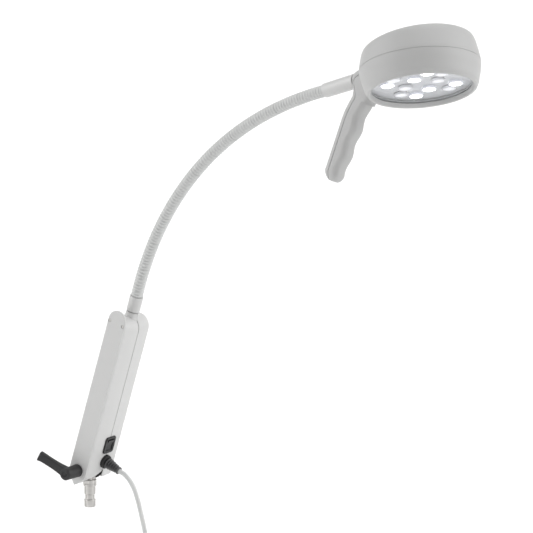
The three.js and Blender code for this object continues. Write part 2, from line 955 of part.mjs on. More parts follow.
add(
  head,
  "rim_shell",
  turnedRing(
    [
      [lipRadius - 5.2, 0],
      ...lowerOuter,
      [headRadius, seamHeight - headStop],
      [headRadius - shellWall, seamHeight - headStop],
      [headRadius - shellWall - 1, 22],
      [lipRadius + 4 - shellWall, 12],
      [lipRadius - 1.6, ledgeHeight + 2],
      [lipRadius - 1.6, ledgeHeight],
      [windowOpening, ledgeHeight],
    ],
    headSegments,
  ),
  paleGrey,
);
const windowRadius = lipRadius - 1.6 - gap;
const windowTop = windowDepth + windowThickness;
add(head, "window", cylinder(windowRadius, windowDepth, windowTop, headSegments), 0xe6ebee, 0, 0.1);
add(
  head,
  "window_gasket",
  turnedRing(
    [
      [windowOpening + 1, windowTop + gap],
      [windowRadius - 0.3, windowTop + gap],
      [windowRadius - 0.3, windowTop + gap + 1],
      [windowOpening + 1, windowTop + gap + 1],
    ],
    headSegments,
  ),
  0x4a4a4c,
  0,
  0.8,
);
const lensFace = windowTop + 0.6;
const lensHeight = 8.8;
const plateLow = lensFace + 3.4;
const innerLenses = [75, 165, 255, 345];
const outerLenses = [14, 41, 104, 131, 194, 221, 284, 311];
const lensSpots = [
  ...innerLenses.map((angle) => [innerCircle, angle]),
  ...outerLenses.map((angle) => [outerCircle, angle]),
];
const lensTaper = 3.5;
const lensSolid = turned(
  [
    [0, lensFace],
    [lensRadius, lensFace],
    [lensRadius, lensFace + 1.6],
    [lensRadius - lensTaper, lensFace + lensHeight],
    [0, lensFace + lensHeight],
  ],
  18,
);
let lensPlate = cylinder(windowRadius - 2, plateLow, plateLow + 1.5, headSegments);
lensSpots.forEach(([radius, angle], i) => {
  // The spots run clockwise seen from below, so the depth axis is reversed.
  const at = [radius * Math.cos(rad(angle)), -radius * Math.sin(rad(angle)), 0];
  lensPlate = lensPlate.subtract(cylinder(lensRadius, plateLow - 1, plateLow + 3, 18).translate(at));
  add(head, `lens_${String(i + 1).padStart(2, "0")}`, lensSolid.translate(at), 0xf4f6f8, 0, 0.15);
});
add(head, "lens_plate", lensPlate, 0xc8c9cc, 0.1, 0.4);
const boardLow = lensFace + lensHeight + gap;
const ledBoard = cylinder(windowRadius - 3, boardLow, boardLow + 1.6, headSegments);
add(head, "led_board", ledBoard, 0xe9e9e6, 0, 0.5);
const sinkLow = boardLow + 1.6 + gap;
let heatSink = cylinder(windowRadius - 6, sinkLow, sinkLow + 3, headSegments);
const finCount = 9;
const finPitch = (2 * (windowRadius - 12)) / (finCount + 1);
for (let i = 0; i < finCount; i++) {
  const x = (i - (finCount - 1) / 2) * finPitch;
  const reach = Math.sqrt((windowRadius - 12) ** 2 - x ** 2);
  heatSink = heatSink.add(box(x - 1, x + 1, -reach, reach, sinkLow + 2, sinkLow + 20));
}
add(head, "heat_sink", heatSink, 0x9a9da1, 0.8, 0.4);

// ---- Handle ----
// Down the handle from the block's lower rear corner, and forwards from its back edge.
const down = [-Math.sin(rad(gripLean)), -Math.cos(rad(gripLean))];
const forward = [Math.cos(rad(gripLean)), -Math.sin(rad(gripLean))];
const onGrip = ([s, f]) => [
  blockRearX + s * down[0] + f * forward[0],
  blockBottom + s * down[1] + f * forward[1],
];
const backEdge = (s) =>
  -6 * Math.sin(Math.min(s / 36, 1) * (Math.PI / 2)) + 2.1 * Math.max(0, (s - 36) / 80);
const fingerEdge = (s) =>
  gripDepth - gripTaper * s - (fingerDepth / 2) * Math.cos((2 * Math.PI * (s - 28)) / fingerPitch);
const range = (from, to, count) =>
  Array.from({ length: count + 1 }, (_, i) => from + ((to - from) * i) / count);
const tipRound = 7;
const gripEnd = gripLength - tipRound;
const backPoints = range(0, gripEnd, 9).map((s) => [s, backEdge(s)]);
const fingerPoints = range(12, gripEnd, 27).map((s) => [s, fingerEdge(s)]);
const tipPoints = [
  [gripLength - 2.4, backEdge(gripEnd) + 2],
  [gripLength + 3.6, 10.5],
  [gripLength + 2.6, 15.5],
  [gripLength - 3, fingerEdge(gripEnd) + 0.4],
];
const gripOutline = [
  [blockRearX, blockTop - 2],
  ...backPoints.map(onGrip),
  ...tipPoints.map(onGrip),
  ...fingerPoints.toReversed().map(onGrip),
  onGrip([5, 29.9]),
  [-78, 12],
  [-66, 14],
  [-66, 57],
  [-84, 56],
  [-98, 54.4],
  [-106.5, blockTop + 2.6],
];
const gripHalf = gripThickness / 2;
const swell = gap;
const headRoom = raised(
  turned(
    [[0, -4], ...headOuter.map(([r, z]) => [r + swell, z]), [0, crownHeight + swell]],
    headSegments,
  ),
);
const boreRadius = swivelRadius + gap;
const bore = solid(new THREE.CylinderGeometry(boreRadius, boreRadius, 60, 24).rotateZ(Math.PI / 2));
lamp.updateMatrixWorld(true);
const toHead = head.matrixWorld.clone().invert().multiply(lastLink.matrixWorld);
const swivelAt = new THREE.Vector3(0, 0, upperFerruleLength + swivelLength + 1 - 30).applyMatrix4(toHead);
const swivelBore = bore.rotate([0, -headPitch, 0]).translate(swivelAt.toArray());
const rearFace = solid(new THREE.CylinderGeometry(14, 14, 20, 24).rotateZ(Math.PI / 2))
  .rotate([0, -headPitch, 0])
  .translate(new THREE.Vector3(0, 0, upperFerruleLength + gap - 10).applyMatrix4(toHead).toArray());
const gripScrewAt = onGrip([gripLength - 6, 9]);
const gripScrewTurn = [0, 180 + gripLean, 0];
const gripScrewRoom = cylinder(2.3 + gap, -0.6, 20, 14)
  .add(cylinder(1.2 + gap, -18, 0, 14))
  .rotate(gripScrewTurn)
  .translate([gripScrewAt[0], 0, gripScrewAt[1]]);
const grip = pulled(gripOutline, "y", -gripHalf, gripHalf, gripRound)
  .subtract(headRoom)
  .subtract(swivelBore)
  .subtract(rearFace)
  .subtract(gripScrewRoom);

const seamPoints = range(4, gripLength + 20, 14).map((s) => onGrip([s, backEdge(s) + coverDepth]));
function behindSeam(offset) {
  const shifted = seamPoints.map(([x, z]) => [x + offset * forward[0], z + offset * forward[1]]);
  return pulled(
    [
      [blockRearX + coverDepth + offset, 80],
      [-300, 80],
      [-300, -200],
      onGrip([gripLength + 60, coverDepth + offset]),
      ...shifted.toReversed(),
    ],
    "y",
    -40,
    40,
  );
}
add(head, "grip_cover", grip.intersect(behindSeam(-gap / 2)), paleGrey);
add(head, "grip_body", grip.subtract(behindSeam(gap / 2)), paleGrey);
const gripScrew = turned(
  [
    [0, -16],
    [1.2, -16],
    [1.2, -0.3],
    [2.3, -0.3],
    [2.3, 1.6],
    [0, 1.6],
  ],
  14,
);
add(
  head,
  "grip_screw",
  gripScrew.rotate(gripScrewTurn).translate([gripScrewAt[0], 0, gripScrewAt[1]]),
  steel,
  0.8,
  0.4,
);

export default lamp;
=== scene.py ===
# Examination lamp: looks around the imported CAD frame. Metres, +Z up, front plate towards -Y.
import json
import math
import bpy
import numpy as np
from mathutils import Matrix, Vector


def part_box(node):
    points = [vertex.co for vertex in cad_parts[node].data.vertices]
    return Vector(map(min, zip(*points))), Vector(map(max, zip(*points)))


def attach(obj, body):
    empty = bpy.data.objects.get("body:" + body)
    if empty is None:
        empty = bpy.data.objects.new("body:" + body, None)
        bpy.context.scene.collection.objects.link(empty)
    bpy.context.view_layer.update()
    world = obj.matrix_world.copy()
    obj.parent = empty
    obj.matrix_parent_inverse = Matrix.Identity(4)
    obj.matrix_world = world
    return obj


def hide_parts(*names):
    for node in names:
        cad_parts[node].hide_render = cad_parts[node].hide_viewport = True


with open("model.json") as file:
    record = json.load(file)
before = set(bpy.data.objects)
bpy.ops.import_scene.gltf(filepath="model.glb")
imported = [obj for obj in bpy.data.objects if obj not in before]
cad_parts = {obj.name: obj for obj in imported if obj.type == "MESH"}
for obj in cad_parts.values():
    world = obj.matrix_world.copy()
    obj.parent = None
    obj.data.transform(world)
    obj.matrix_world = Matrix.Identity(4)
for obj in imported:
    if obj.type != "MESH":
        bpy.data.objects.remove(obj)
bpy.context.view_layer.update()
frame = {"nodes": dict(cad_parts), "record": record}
joints = {joint["name"]: joint for joint in frame["record"]["behaviour"]["joints"]}
mm = 0.001

# ---- frames: casing and head, from the joints ----
place = {
    "casingLean": 17.28,
    "headRoll": -20.22,
    "headPitch": -1.55,
    "neckLineEnd": 44 * mm,
    "headAhead": 119.76 * mm,
    "headBelow": 43.14 * mm,
}
pivot = Vector(joints["casing_tilt"]["pos_m"])
casingFrame = Matrix.Translation(pivot) @ Matrix.Rotation(math.radians(place["casingLean"]), 4, "Y")
swivel = joints["head_swivel"]
swivelAt = Vector(swivel["pos_m"])
swivelAxis = Vector(swivel["axis"]).normalized()
swivelRise = math.atan2(swivelAxis.z, swivelAxis.x)
neckEndFrame = Matrix.Translation(swivelAt) @ Matrix.Rotation(-swivelRise, 4, "Y")
headFrame = (
    neckEndFrame
    @ Matrix.Translation((place["neckLineEnd"], 0, 0))
    @ Matrix.Rotation(math.radians(place["headRoll"]), 4, "X")
    @ Matrix.Rotation(math.radians(place["headPitch"]), 4, "Y")
    @ Matrix.Translation((place["headAhead"], 0, -place["headBelow"]))
)

# ---- camera ----
view = {
    "azimuth": 35.88,
    "elevation": 12.16,
    "distance": 12.254,
    "right": 0.2433,
    "up": 0.2755,
    "lens": 601.2,
}
turn = math.radians(view["azimuth"])
tilt = math.radians(view["elevation"])
camRight = Vector((math.cos(turn), math.sin(turn), 0))
camBack = Vector((math.sin(turn) * math.cos(tilt), -math.cos(turn) * math.cos(tilt), math.sin(tilt)))
camUp = camBack.cross(camRight)
camAt = pivot + view["right"] * camRight + view["up"] * camUp + view["distance"] * camBack
camData = bpy.data.cameras.new("camera")
camData.lens = view["lens"]
camData.sensor_width = 36
camData.clip_end = 100
camera = bpy.data.objects.new("camera", camData)
camera.matrix_world = Matrix.Translation(camAt) @ Matrix((camRight, camUp, camBack)).transposed().to_4x4()
bpy.context.scene.collection.objects.link(camera)
bpy.context.scene.camera = camera
print("stage: camera")


# ---- mesh helpers ----
def meshPiece(name, verts, faces, material, smoothAngle=35):
    mesh = bpy.data.meshes.new(name)
    mesh.from_pydata(np.asarray(verts).tolist(), [], faces)
    mesh.validate()
    mesh.update()
    piece = bpy.data.objects.new(name, mesh)
    bpy.context.scene.collection.objects.link(piece)
    mesh.materials.append(material)
    mesh.shade_smooth()
    mesh.set_sharp_from_angle(angle=math.radians(smoothAngle))
    return piece


# Rows of points, closed across; capped at both ends, or joined end to end.
def gridFaces(rows, cols, capped=True, looped=False):
    faces = []
    for row in range(rows if looped else rows - 1):
        low = row * cols
        high = ((row + 1) % rows) * cols
        for col in range(cols):
            after = (col + 1) % cols
            faces.append((low + col, low + after, high + after, high + col))
    if capped and not looped:
        faces.append(tuple(reversed(range(cols))))
        faces.append(tuple(range((rows - 1) * cols, rows * cols)))
    return faces


def volumeOf(points, faces):
    total = 0.0
    for face in faces:
        a = points[face[0]]
        for k in range(1, len(face) - 1):
            total += float(np.dot(a, np.cross(points[face[k]], points[face[k + 1]])))
    return total


def transformed(points, matrix):
    m = np.array(matrix)
    return np.asarray(points) @ m[:3, :3].T + m[:3, 3]


def gridPiece(name, grid, material, matrix=Matrix(), capped=True, looped=False, smoothAngle=35):
    grid = np.asarray(grid, dtype=float)
    rows, cols = grid.shape[:2]
    points = transformed(grid.reshape(-1, 3), matrix)
    faces = gridFaces(rows, cols, capped, looped)
    if volumeOf(points - points.mean(axis=0), faces) < 0:
        faces = [tuple(reversed(face)) for face in faces]
    return meshPiece(name, points, faces, material, smoothAngle)


# A turned surface about z from (radius, height) pairs, which end on the axis or close on themselves.
def turnedGrid(pairs, around=72, start=0, sweep=360):
    pairs = np.asarray(pairs, dtype=float)
    angles = np.radians(start + np.linspace(0, sweep, around, endpoint=sweep < 360))
    radius, height = pairs[:, :1], pairs[:, 1:]
    height = np.broadcast_to(height, (len(pairs), around))
    return np.stack([radius * np.cos(angles), radius * np.sin(angles), height], axis=-1)


def turnedPiece(name, pairs, material, matrix=Matrix(), around=72, looped=False, smoothAngle=35):
    return gridPiece(name, turnedGrid(pairs, around), material, matrix, not looped, looped, smoothAngle)


def arcPairs(x, y, radius, start, end, steps):
    angles = np.radians(np.linspace(start, end, steps + 1))
    return [(x + radius * math.cos(t), y + radius * math.sin(t)) for t in angles]


# A closed outline of a rounded rectangle, counter-clockwise.
def roundedOutline(halfA, halfB, radius, steps=6):
    out = []
    for signA, signB, start in ((1, 1, 0), (-1, 1, 90), (-1, -1, 180), (1, -1, 270)):
        out += arcPairs(signA * (halfA - radius), signB * (halfB - radius), radius, start, start + 90, steps)
    return np.array(out)


def alongX(matrix=Matrix()):
    return matrix @ Matrix.Rotation(math.radians(90), 4, "Y")


def alongY(matrix=Matrix()):
    return matrix @ Matrix.Rotation(math.radians(-90), 4, "X")


# ---- shared surface effects ----
# Fine grain: colour drifts with slow noise and the surface carries a small tight bump.
def makeGrainGroup():
    group = bpy.data.node_groups.new("surfaceGrain", "ShaderNodeTree")
    sockets = (
        ("Tint", "INPUT", "Color"),
        ("Drift", "INPUT", "Float"),
        ("Grain Scale", "INPUT", "Float"),
        ("Base Roughness", "INPUT", "Float"),
        ("Stretch", "INPUT", "Vector"),
        ("Color", "OUTPUT", "Color"),
        ("Roughness", "OUTPUT", "Float"),
        ("Height", "OUTPUT", "Float"),
    )
    for name, way, kind in sockets:
        group.interface.new_socket(name=name, in_out=way, socket_type="NodeSocket" + kind)
    nodes, links = group.nodes, group.links
    entry = nodes.new("NodeGroupInput")
    leave = nodes.new("NodeGroupOutput")
    coords = nodes.new("ShaderNodeTexCoord")
    stretch = nodes.new("ShaderNodeVectorMath")
    stretch.operation = "MULTIPLY"
    slow = nodes.new("ShaderNodeTexNoise")
    slow.inputs["Scale"].default_value = 9
    slow.inputs["Detail"].default_value = 3
    fine = nodes.new("ShaderNodeTexNoise")
    fine.inputs["Detail"].default_value = 2
    brightness = nodes.new("ShaderNodeMath")
    brightness.operation = "MULTIPLY_ADD"
    offset = nodes.new("ShaderNodeMath")
    offset.operation = "SUBTRACT"
    offset.inputs[1].default_value = 0.5
    scaled = nodes.new("ShaderNodeVectorMath")
    scaled.operation = "SCALE"
    roughen = nodes.new("ShaderNodeMath")
    roughen.operation = "MULTIPLY_ADD"
    roughen.inputs[1].default_value = 0.08
    links.new(coords.outputs["Object"], slow.inputs["Vector"])
    links.new(coords.outputs["Object"], stretch.inputs[0])
    links.new(entry.outputs["Stretch"], stretch.inputs[1])
    links.new(stretch.outputs[0], fine.inputs["Vector"])
    links.new(entry.outputs["Grain Scale"], fine.inputs["Scale"])
    links.new(slow.outputs["Fac"], offset.inputs[0])
    links.new(offset.outputs[0], brightness.inputs[0])
    links.new(entry.outputs["Drift"], brightness.inputs[1])
    brightness.inputs[2].default_value = 1
    links.new(entry.outputs["Tint"], scaled.inputs[0])
    links.new(brightness.outputs[0], scaled.inputs["Scale"])
    links.new(fine.outputs["Fac"], roughen.inputs[0])
    links.new(entry.outputs["Base Roughness"], roughen.inputs[2])
    links.new(scaled.outputs[0], leave.inputs["Color"])
    links.new(roughen.outputs[0], leave.inputs["Roughness"])
    links.new(fine.outputs["Fac"], leave.inputs["Height"])
    return group


grainGroup = makeGrainGroup()


def grainMaterial(name, look):
    material = bpy.data.materials.new(name)
    material.use_nodes = True
    nodes, links = material.node_tree.nodes, material.node_tree.links
    shader = nodes["Principled BSDF"]
    shader.inputs["Metallic"].default_value = look.get("metallic", 0)
    shader.inputs["IOR"].default_value = look.get("ior", 1.46)
    shader.inputs["Coat Weight"].default_value = look.get("coat", 0)
    shader.inputs["Alpha"].default_value = look.get("alpha", 1)
    grain = nodes.new("ShaderNodeGroup")
    grain.node_tree = grainGroup
    grain.inputs["Tint"].default_value = (*look["tint"], 1)
    grain.inputs["Drift"].default_value = look.get("drift", 0.06)
    grain.inputs["Grain Scale"].default_value = look.get("grain", 900)
    grain.inputs["Base Roughness"].default_value = look["roughness"]
    grain.inputs["Stretch"].default_value = look.get("stretch", (1, 1, 1))
    bump = nodes.new("ShaderNodeBump")
    bump.inputs["Strength"].default_value = look.get("bump", 0.15)
    bump.inputs["Distance"].default_value = look.get("bumpDepth", 0.0002)
    links.new(grain.outputs["Color"], shader.inputs["Base Color"])
    links.new(grain.outputs["Roughness"], shader.inputs["Roughness"])
    links.new(grain.outputs["Height"], bump.inputs["Height"])
    links.new(bump.outputs["Normal"], shader.inputs["Normal"])
    return material


looks = {
    "paleShell": {"tint": (0.56, 0.56, 0.555), "roughness": 0.45, "drift": 0.03},
    # The head's shell is the pale shell's plastic darkened: painted shade, so the head and handle read darker
    # than the casing.
    "headShellShaded": {"tint": (0.43, 0.43, 0.427), "roughness": 0.42, "drift": 0.03},
    "ferrule": {"tint": (0.54, 0.54, 0.535), "roughness": 0.36, "metallic": 0.15, "drift": 0.03},
    "neckSleeve": {"tint": (0.53, 0.535, 0.53), "roughness": 0.4, "metallic": 0.2, "drift": 0.04},
    # seam: near-black, painted shade in the gap between the casing shells; the ferrule seal is made of it
    # too.
    "seam": {"tint": (0.12, 0.12, 0.12), "roughness": 0.8, "drift": 0.1},
    # The head's seam ring: darker than the head's shell, painted shade in the gap between crown and rim.
    "headSeamShade": {"tint": (0.3, 0.3, 0.3), "roughness": 0.8, "drift": 0.1},
    "blackPlastic": {"tint": (0.012, 0.012, 0.013), "roughness": 0.42, "drift": 0.2, "bump": 0.3},
    "blackRubber": {"tint": (0.012, 0.012, 0.012), "roughness": 0.6, "drift": 0.2, "bump": 0.3},
    # boot: black rubber given a lighter tint than the gland's, a painted highlight so the rib crests read lit
    # against their shaded grooves.
    "boot": {"tint": (0.07, 0.07, 0.072), "roughness": 0.4, "drift": 0.2, "bump": 0.2},
    "lever": {"tint": (0.015, 0.015, 0.016), "roughness": 0.5, "drift": 0.2, "grain": 1600, "bump": 0.5},
    "nickel": {"tint": (0.62, 0.605, 0.585), "roughness": 0.3, "metallic": 1, "drift": 0.08,
               "grain": 500, "stretch": (1, 1, 0.06), "bump": 0.1},
    "zinc": {"tint": (0.5, 0.49, 0.47), "roughness": 0.38, "metallic": 1, "drift": 0.1},
    "cord": {"tint": (0.6, 0.605, 0.6), "roughness": 0.5, "drift": 0.04, "bump": 0.2},
    "plug": {"tint": (0.5, 0.505, 0.5), "roughness": 0.45, "drift": 0.04},
    "tie": {"tint": (0.03, 0.03, 0.032), "roughness": 0.9, "drift": 0.3, "grain": 2500, "bump": 0.8},
    "holder": {"tint": (0.5, 0.505, 0.53), "roughness": 0.4, "drift": 0.05},
    "board": {"tint": (0.03, 0.16, 0.06), "roughness": 0.5, "drift": 0.3},
    "ledBoard": {"tint": (0.75, 0.75, 0.72), "roughness": 0.5, "drift": 0.08},
    "capacitor": {"tint": (0.02, 0.035, 0.07), "roughness": 0.3, "drift": 0.1},
    "aluminium": {"tint": (0.55, 0.555, 0.56), "roughness": 0.38, "metallic": 1, "drift": 0.06},
    "window": {"tint": (0.9, 0.92, 0.93), "roughness": 0.05, "alpha": 0.14, "drift": 0.02, "bump": 0.02},
}
materials = {name: grainMaterial(name, look) for name, look in looks.items()}


# Painted reflection: the turned metal's colour is darkened in bands by how far its side faces away from the
# view, standing in for the dark bands it reflects where its side curves away.
def paintReflectionBands(material, reflectionBands):
    nodes, links = material.node_tree.nodes, material.node_tree.links
    shader = nodes["Principled BSDF"]
    source = shader.inputs["Base Color"].links[0].from_socket
    weight = nodes.new("ShaderNodeLayerWeight")
    weight.inputs["Blend"].default_value = 0.5
    ramp = nodes.new("ShaderNodeValToRGB")
    for index, (position, grey) in enumerate(reflectionBands):
        stop = ramp.color_ramp.elements[index] if index < 2 else ramp.color_ramp.elements.new(position)
        stop.position = position
        stop.color = (grey, grey, grey, 1)
    blend = nodes.new("ShaderNodeMix")
    blend.data_type = "RGBA"
    blend.blend_type = "MULTIPLY"
    blend.inputs["Factor"].default_value = 1
    links.new(weight.outputs["Facing"], ramp.inputs["Fac"])
    links.new(source, blend.inputs[6])
    links.new(ramp.outputs["Color"], blend.inputs[7])
    links.new(blend.outputs[2], shader.inputs["Base Color"])


# The nickel parts get the painted reflection bands.
paintReflectionBands(materials["nickel"], [(0, 0.72), (1, 0.5), (0.2, 0.95), (0.38, 0.5), (0.55, 1), (0.8, 0.95)])

cadFinish = {
    "front_washer": "blackRubber",
    "rear_washer": "blackRubber",
    "clamp_stud": "zinc",
    "clamp_nut": "zinc",
    "lever_insert": "zinc",
    "lever_screw": "blackPlastic",
    "case_screw_left": "zinc",
    "case_screw_right": "zinc",
    "grip_screw": "zinc",
    "driver_board": "board",
    "driver_transformer": "blackPlastic",
    "driver_capacitor": "capacitor",
    "window_gasket": "holder",
    "lens_plate": "holder",
    "led_board": "ledBoard",
    "heat_sink": "aluminium",
}
for node, finish in cadFinish.items():
    frame["nodes"][node].data.materials.clear()
    frame["nodes"][node].data.materials.append(materials[finish])
print("stage: materials")

# ---- cord, coil and plug ----
cord = {
    "radius": 3.2 * mm,
    "y": 6 * mm,
    "fall": 93.5 * mm,
    "coilRadius": 36 * mm,
    "coilDrop": 148.5 * mm,
    "turns": 10,
    "around": 14,
    "glandOut": 22.7 * mm,
    "glandHeight": 15.5 * mm,
}
glandCentre = Vector((cord["glandOut"], cord["y"], cord["glandHeight"]))
bootFrame = casingFrame @ Matrix.Translation(glandCentre) @ Matrix.Rotation(math.radians(7), 4, "Y")
bootLength = 20.5 * mm
bootStart = 1.3 * mm
cordStart = bootFrame @ Vector((bootStart + 0.6 * mm, 0, 0))
cordExit = bootFrame @ Vector((bootStart + bootLength, 0, 0))
coilCentre = Vector((cord["fall"] + cord["coilRadius"], cord["y"], pivot.z - cord["coilDrop"]))


def throughPoints(points, spacing):
    # centripetal Catmull-Rom through the points, resampled evenly
    pts = [np.array(p, dtype=float) for p in points]
    pts = [2 * pts[0] - pts[1], *pts, 2 * pts[-1] - pts[-2]]
    out = []
    for i in range(1, len(pts) - 2):
        p0, p1, p2, p3 = pts[i - 1:i + 3]
        t0 = 0.0
        t1 = t0 + np.linalg.norm(p1 - p0) ** 0.5
        t2 = t1 + np.linalg.norm(p2 - p1) ** 0.5
        t3 = t2 + np.linalg.norm(p3 - p2) ** 0.5
        for t in np.linspace(t1, t2, 24, endpoint=False):
            a1 = (t1 - t) / (t1 - t0) * p0 + (t - t0) / (t1 - t0) * p1
            a2 = (t2 - t) / (t2 - t1) * p1 + (t - t1) / (t2 - t1) * p2
            a3 = (t3 - t) / (t3 - t2) * p2 + (t - t2) / (t3 - t2) * p3
            b1 = (t2 - t) / (t2 - t0) * a1 + (t - t0) / (t2 - t0) * a2
            b2 = (t3 - t) / (t3 - t1) * a2 + (t - t1) / (t3 - t1) * a3
            out.append((t2 - t) / (t2 - t1) * b1 + (t - t1) / (t2 - t1) * b2)
    out.append(pts[-2])
    out = np.array(out)
    walked = np.concatenate([[0], np.cumsum(np.linalg.norm(np.diff(out, axis=0), axis=1))])
    even = np.linspace(0, walked[-1], max(2, int(round(walked[-1] / spacing))) + 1)
    return np.stack([np.interp(even, walked, out[:, k]) for k in range(3)], axis=1)


# A round tube along a path, its frame carried along without twist.
def tubeGrid(path, radius, around):
    path = np.asarray(path)
    tangents = np.gradient(path, axis=0)
    tangents /= np.linalg.norm(tangents, axis=1, keepdims=True)
    side = np.array([0.0, 1.0, 0.0])
    angles = np.linspace(0, 2 * math.pi, around, endpoint=False)
    rings = []
    for at, ahead in zip(path, tangents):
        side = side - ahead * np.dot(side, ahead)
        side /= np.linalg.norm(side)
        across = np.cross(ahead, side)
        rings.append(at + radius * (np.cos(angles)[:, None] * side + np.sin(angles)[:, None] * across))
    return np.array(rings)


handRoute = [
    cordStart,
    cordStart.lerp(cordExit, 0.5),
    cordExit,
    (57 * mm, cord["y"], pivot.z - 5.6 * mm),
    (69.6 * mm, cord["y"], pivot.z - 19 * mm),
    (77.2 * mm, cord["y"], pivot.z - 36 * mm),
    (83.8 * mm, cord["y"], pivot.z - 57.7 * mm),
    (89.6 * mm, cord["y"], pivot.z - 79.5 * mm),
    (cord["fall"] - 0.5 * mm, cord["y"], pivot.z - 99 * mm),
    (cord["fall"], cord["y"], coilCentre.z + 24 * mm),
]
# The coil: each turn lies in one lane, and the cord crosses to the next lane over half a turn.
diameter = 2 * cord["radius"] + 0.25 * mm
laneOrder = [(0, 1), (0, 2), (0, 3), (0, 0), (-1, 0), (-1, 1), (-1, 2), (-1, 3), (1, 3), (1, 2)]
stepsPerTurn = 48
coilPath = []
for turnIndex in range(cord["turns"]):
    here = laneOrder[turnIndex]
    there = laneOrder[min(turnIndex + 1, cord["turns"] - 1)]
    for k in range(stepsPerTurn):
        share = k / stepsPerTurn
        ease = min(max((share - 0.72) / 0.28, 0), 1)
        ease = ease * ease * (3 - 2 * ease)
        layer = here[0] + (there[0] - here[0]) * ease
        row = here[1] + (there[1] - here[1]) * ease
        radius = cord["coilRadius"] + layer * diameter
        # start at the left and turn down, right and up
        angle = math.pi + 2 * math.pi * share
        coilPath.append((
            coilCentre.x + radius * math.cos(angle),
            coilCentre.y + (row - 1.5) * diameter,
            coilCentre.z + radius * math.sin(angle),
        ))
leadX = coilCentre.x - (cord["coilRadius"] + diameter)
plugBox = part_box("mains_plug")
coilPath.append((leadX, coilCentre.y + 0.5 * diameter, coilCentre.z))
endRoute = [
    coilPath[-1],
    (leadX, coilCentre.y + 0.45 * diameter, coilCentre.z - 9 * mm),
    (leadX, cord["y"], plugBox[1][2] + 6 * mm),
    (leadX, cord["y"], plugBox[1][2] - 4 * mm),
]
wholePath = np.concatenate([
    throughPoints([*handRoute, coilPath[0]], 3 * mm)[:-1],
    np.array(coilPath)[:-1],
    throughPoints(endRoute, 3 * mm),
])
cordPiece = gridPiece("mainsCord", tubeGrid(wholePath, cord["radius"], cord["around"]), materials["cord"])
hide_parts("mains_cord", "cord_coil", "plug_lead")
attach(cordPiece, "casing")
for node, finish in (("mains_plug", "plug"), ("coil_tie", "tie")):
    frame["nodes"][node].data.materials.clear()
    frame["nodes"][node].data.materials.append(materials[finish])

# ---- casing shells ----
# Each shell is a loft along y of closed outlines in the casing's x-z plane.
casing = {
    "plateHalf": 14.4 * mm,
    "partingHalf": 17.4 * mm,
    "rearHalf": 15.0 * mm,
    "plateY": -27.67 * mm,
    "partingY": 5.6 * mm,
    "rearY": 34.75 * mm,
    "ridge": 232.4 * mm,
    "plateTop": 243.4 * mm,
    "plateThick": 3 * mm,
    "point": 22.4 * mm,
    "rearDrop": 9 * mm,
    "slotHalf": 8.2 * mm,
    "knuckleRoom": 15 * mm,
    "washerRoom": 17.3 * mm,
    "sideEdge": (-6 * mm, 2.2 * mm),
    "edge": 0.7 * mm,
    "rearEdge": 4 * mm,
    "topRound": 9 * mm,
    "seamGap": 0.42 * mm,
    "seamWall": 1.2 * mm,
    "seamFoot": 4 * mm,
    "bossRadius": 8.6 * mm,
    "bossTop": 238.3 * mm,
    "screwAcross": 11.4 * mm,
    "screwHeight": 225.6 * mm,
    "screwRoom": 2.6 * mm,
    "screwDepth": 1.6 * mm,
    "flatFace": 0.0005,
}


def casingHalf(y):
    if y < casing["partingY"]:
        share = (y - casing["plateY"]) / (casing["partingY"] - casing["plateY"])
        widening = casing["partingHalf"] - casing["plateHalf"]
        return casing["plateHalf"] + widening * math.sin(share * math.pi / 2)
    share = (y - casing["partingY"]) / (casing["rearY"] - casing["partingY"])
    half = casing["partingHalf"] + (casing["rearHalf"] - casing["partingHalf"]) * share ** 1.5
    into = max(0, y - (casing["rearY"] - casing["rearEdge"]))
    return half - casing["rearEdge"] + math.sqrt(max(casing["rearEdge"] ** 2 - into ** 2, 0))


def ridgeHeight(y):
    fall = 1.6 * mm * (y - casing["plateY"]) / (casing["rearY"] - casing["plateY"])
    into = max(0, y - (casing["rearY"] - casing["topRound"]))
    roundOff = math.sqrt(max(casing["topRound"] ** 2 - into ** 2, 0))
    return casing["ridge"] - fall - casing["topRound"] + roundOff


# Height of the underside at x, for the front block's point, the knuckle slot and the rear block.
def undersideHeight(x, y, zone, inset):
    if zone == "point":
        return -casing["point"] + abs(x) + inset * 1.4
    if zone == "rear":
        into = max(0, y - (casing["rearY"] - 1.5 * mm))
        return -casing["rearDrop"] + inset + into
    room = casing["washerRoom"] if zone == "washer" else casing["knuckleRoom"]
    if abs(x) < room:
        return math.sqrt(room ** 2 - x ** 2)
    low, high = casing["sideEdge"]
    share = (y + casing["slotHalf"]) / (2 * casing["slotHalf"])
    return low + (high - low) * share + inset


def casingOutline(y, zone, inset=0.0, tongue=False, lift=0.0):
    half = casingHalf(y) - inset
    top = (casing["plateTop"] if tongue else ridgeHeight(y)) - inset
    room = min(casing["washerRoom"] if zone == "washer" else casing["knuckleRoom"], 0.965 * half)
    edge = room / half
    spread = [1, (1 + edge) / 2, edge + 0.001, *np.cos(np.linspace(0, math.pi, 25)) * (edge - 0.001),
              -edge - 0.001, -(1 + edge) / 2, -1]
    points = [(s * half, undersideHeight(s * half, y, zone, inset + lift)) for s in spread]
    centre = top - half
    lowLeft = points[-1][1]
    points += [(-half, lowLeft + (centre - lowLeft) * k / 9) for k in range(1, 9)]
    points += [(half * math.cos(t), centre + half * math.sin(t)) for t in np.linspace(math.pi, 0, 37)]
    lowRight = points[0][1]
    points += [(half, centre + (lowRight - centre) * k / 9) for k in range(1, 9)]
    return [(x, y, z) for x, z in points]


def casingShell(name, rows):
    return gridPiece(name, [casingOutline(*row) for row in rows], materials["paleShell"], casingFrame)


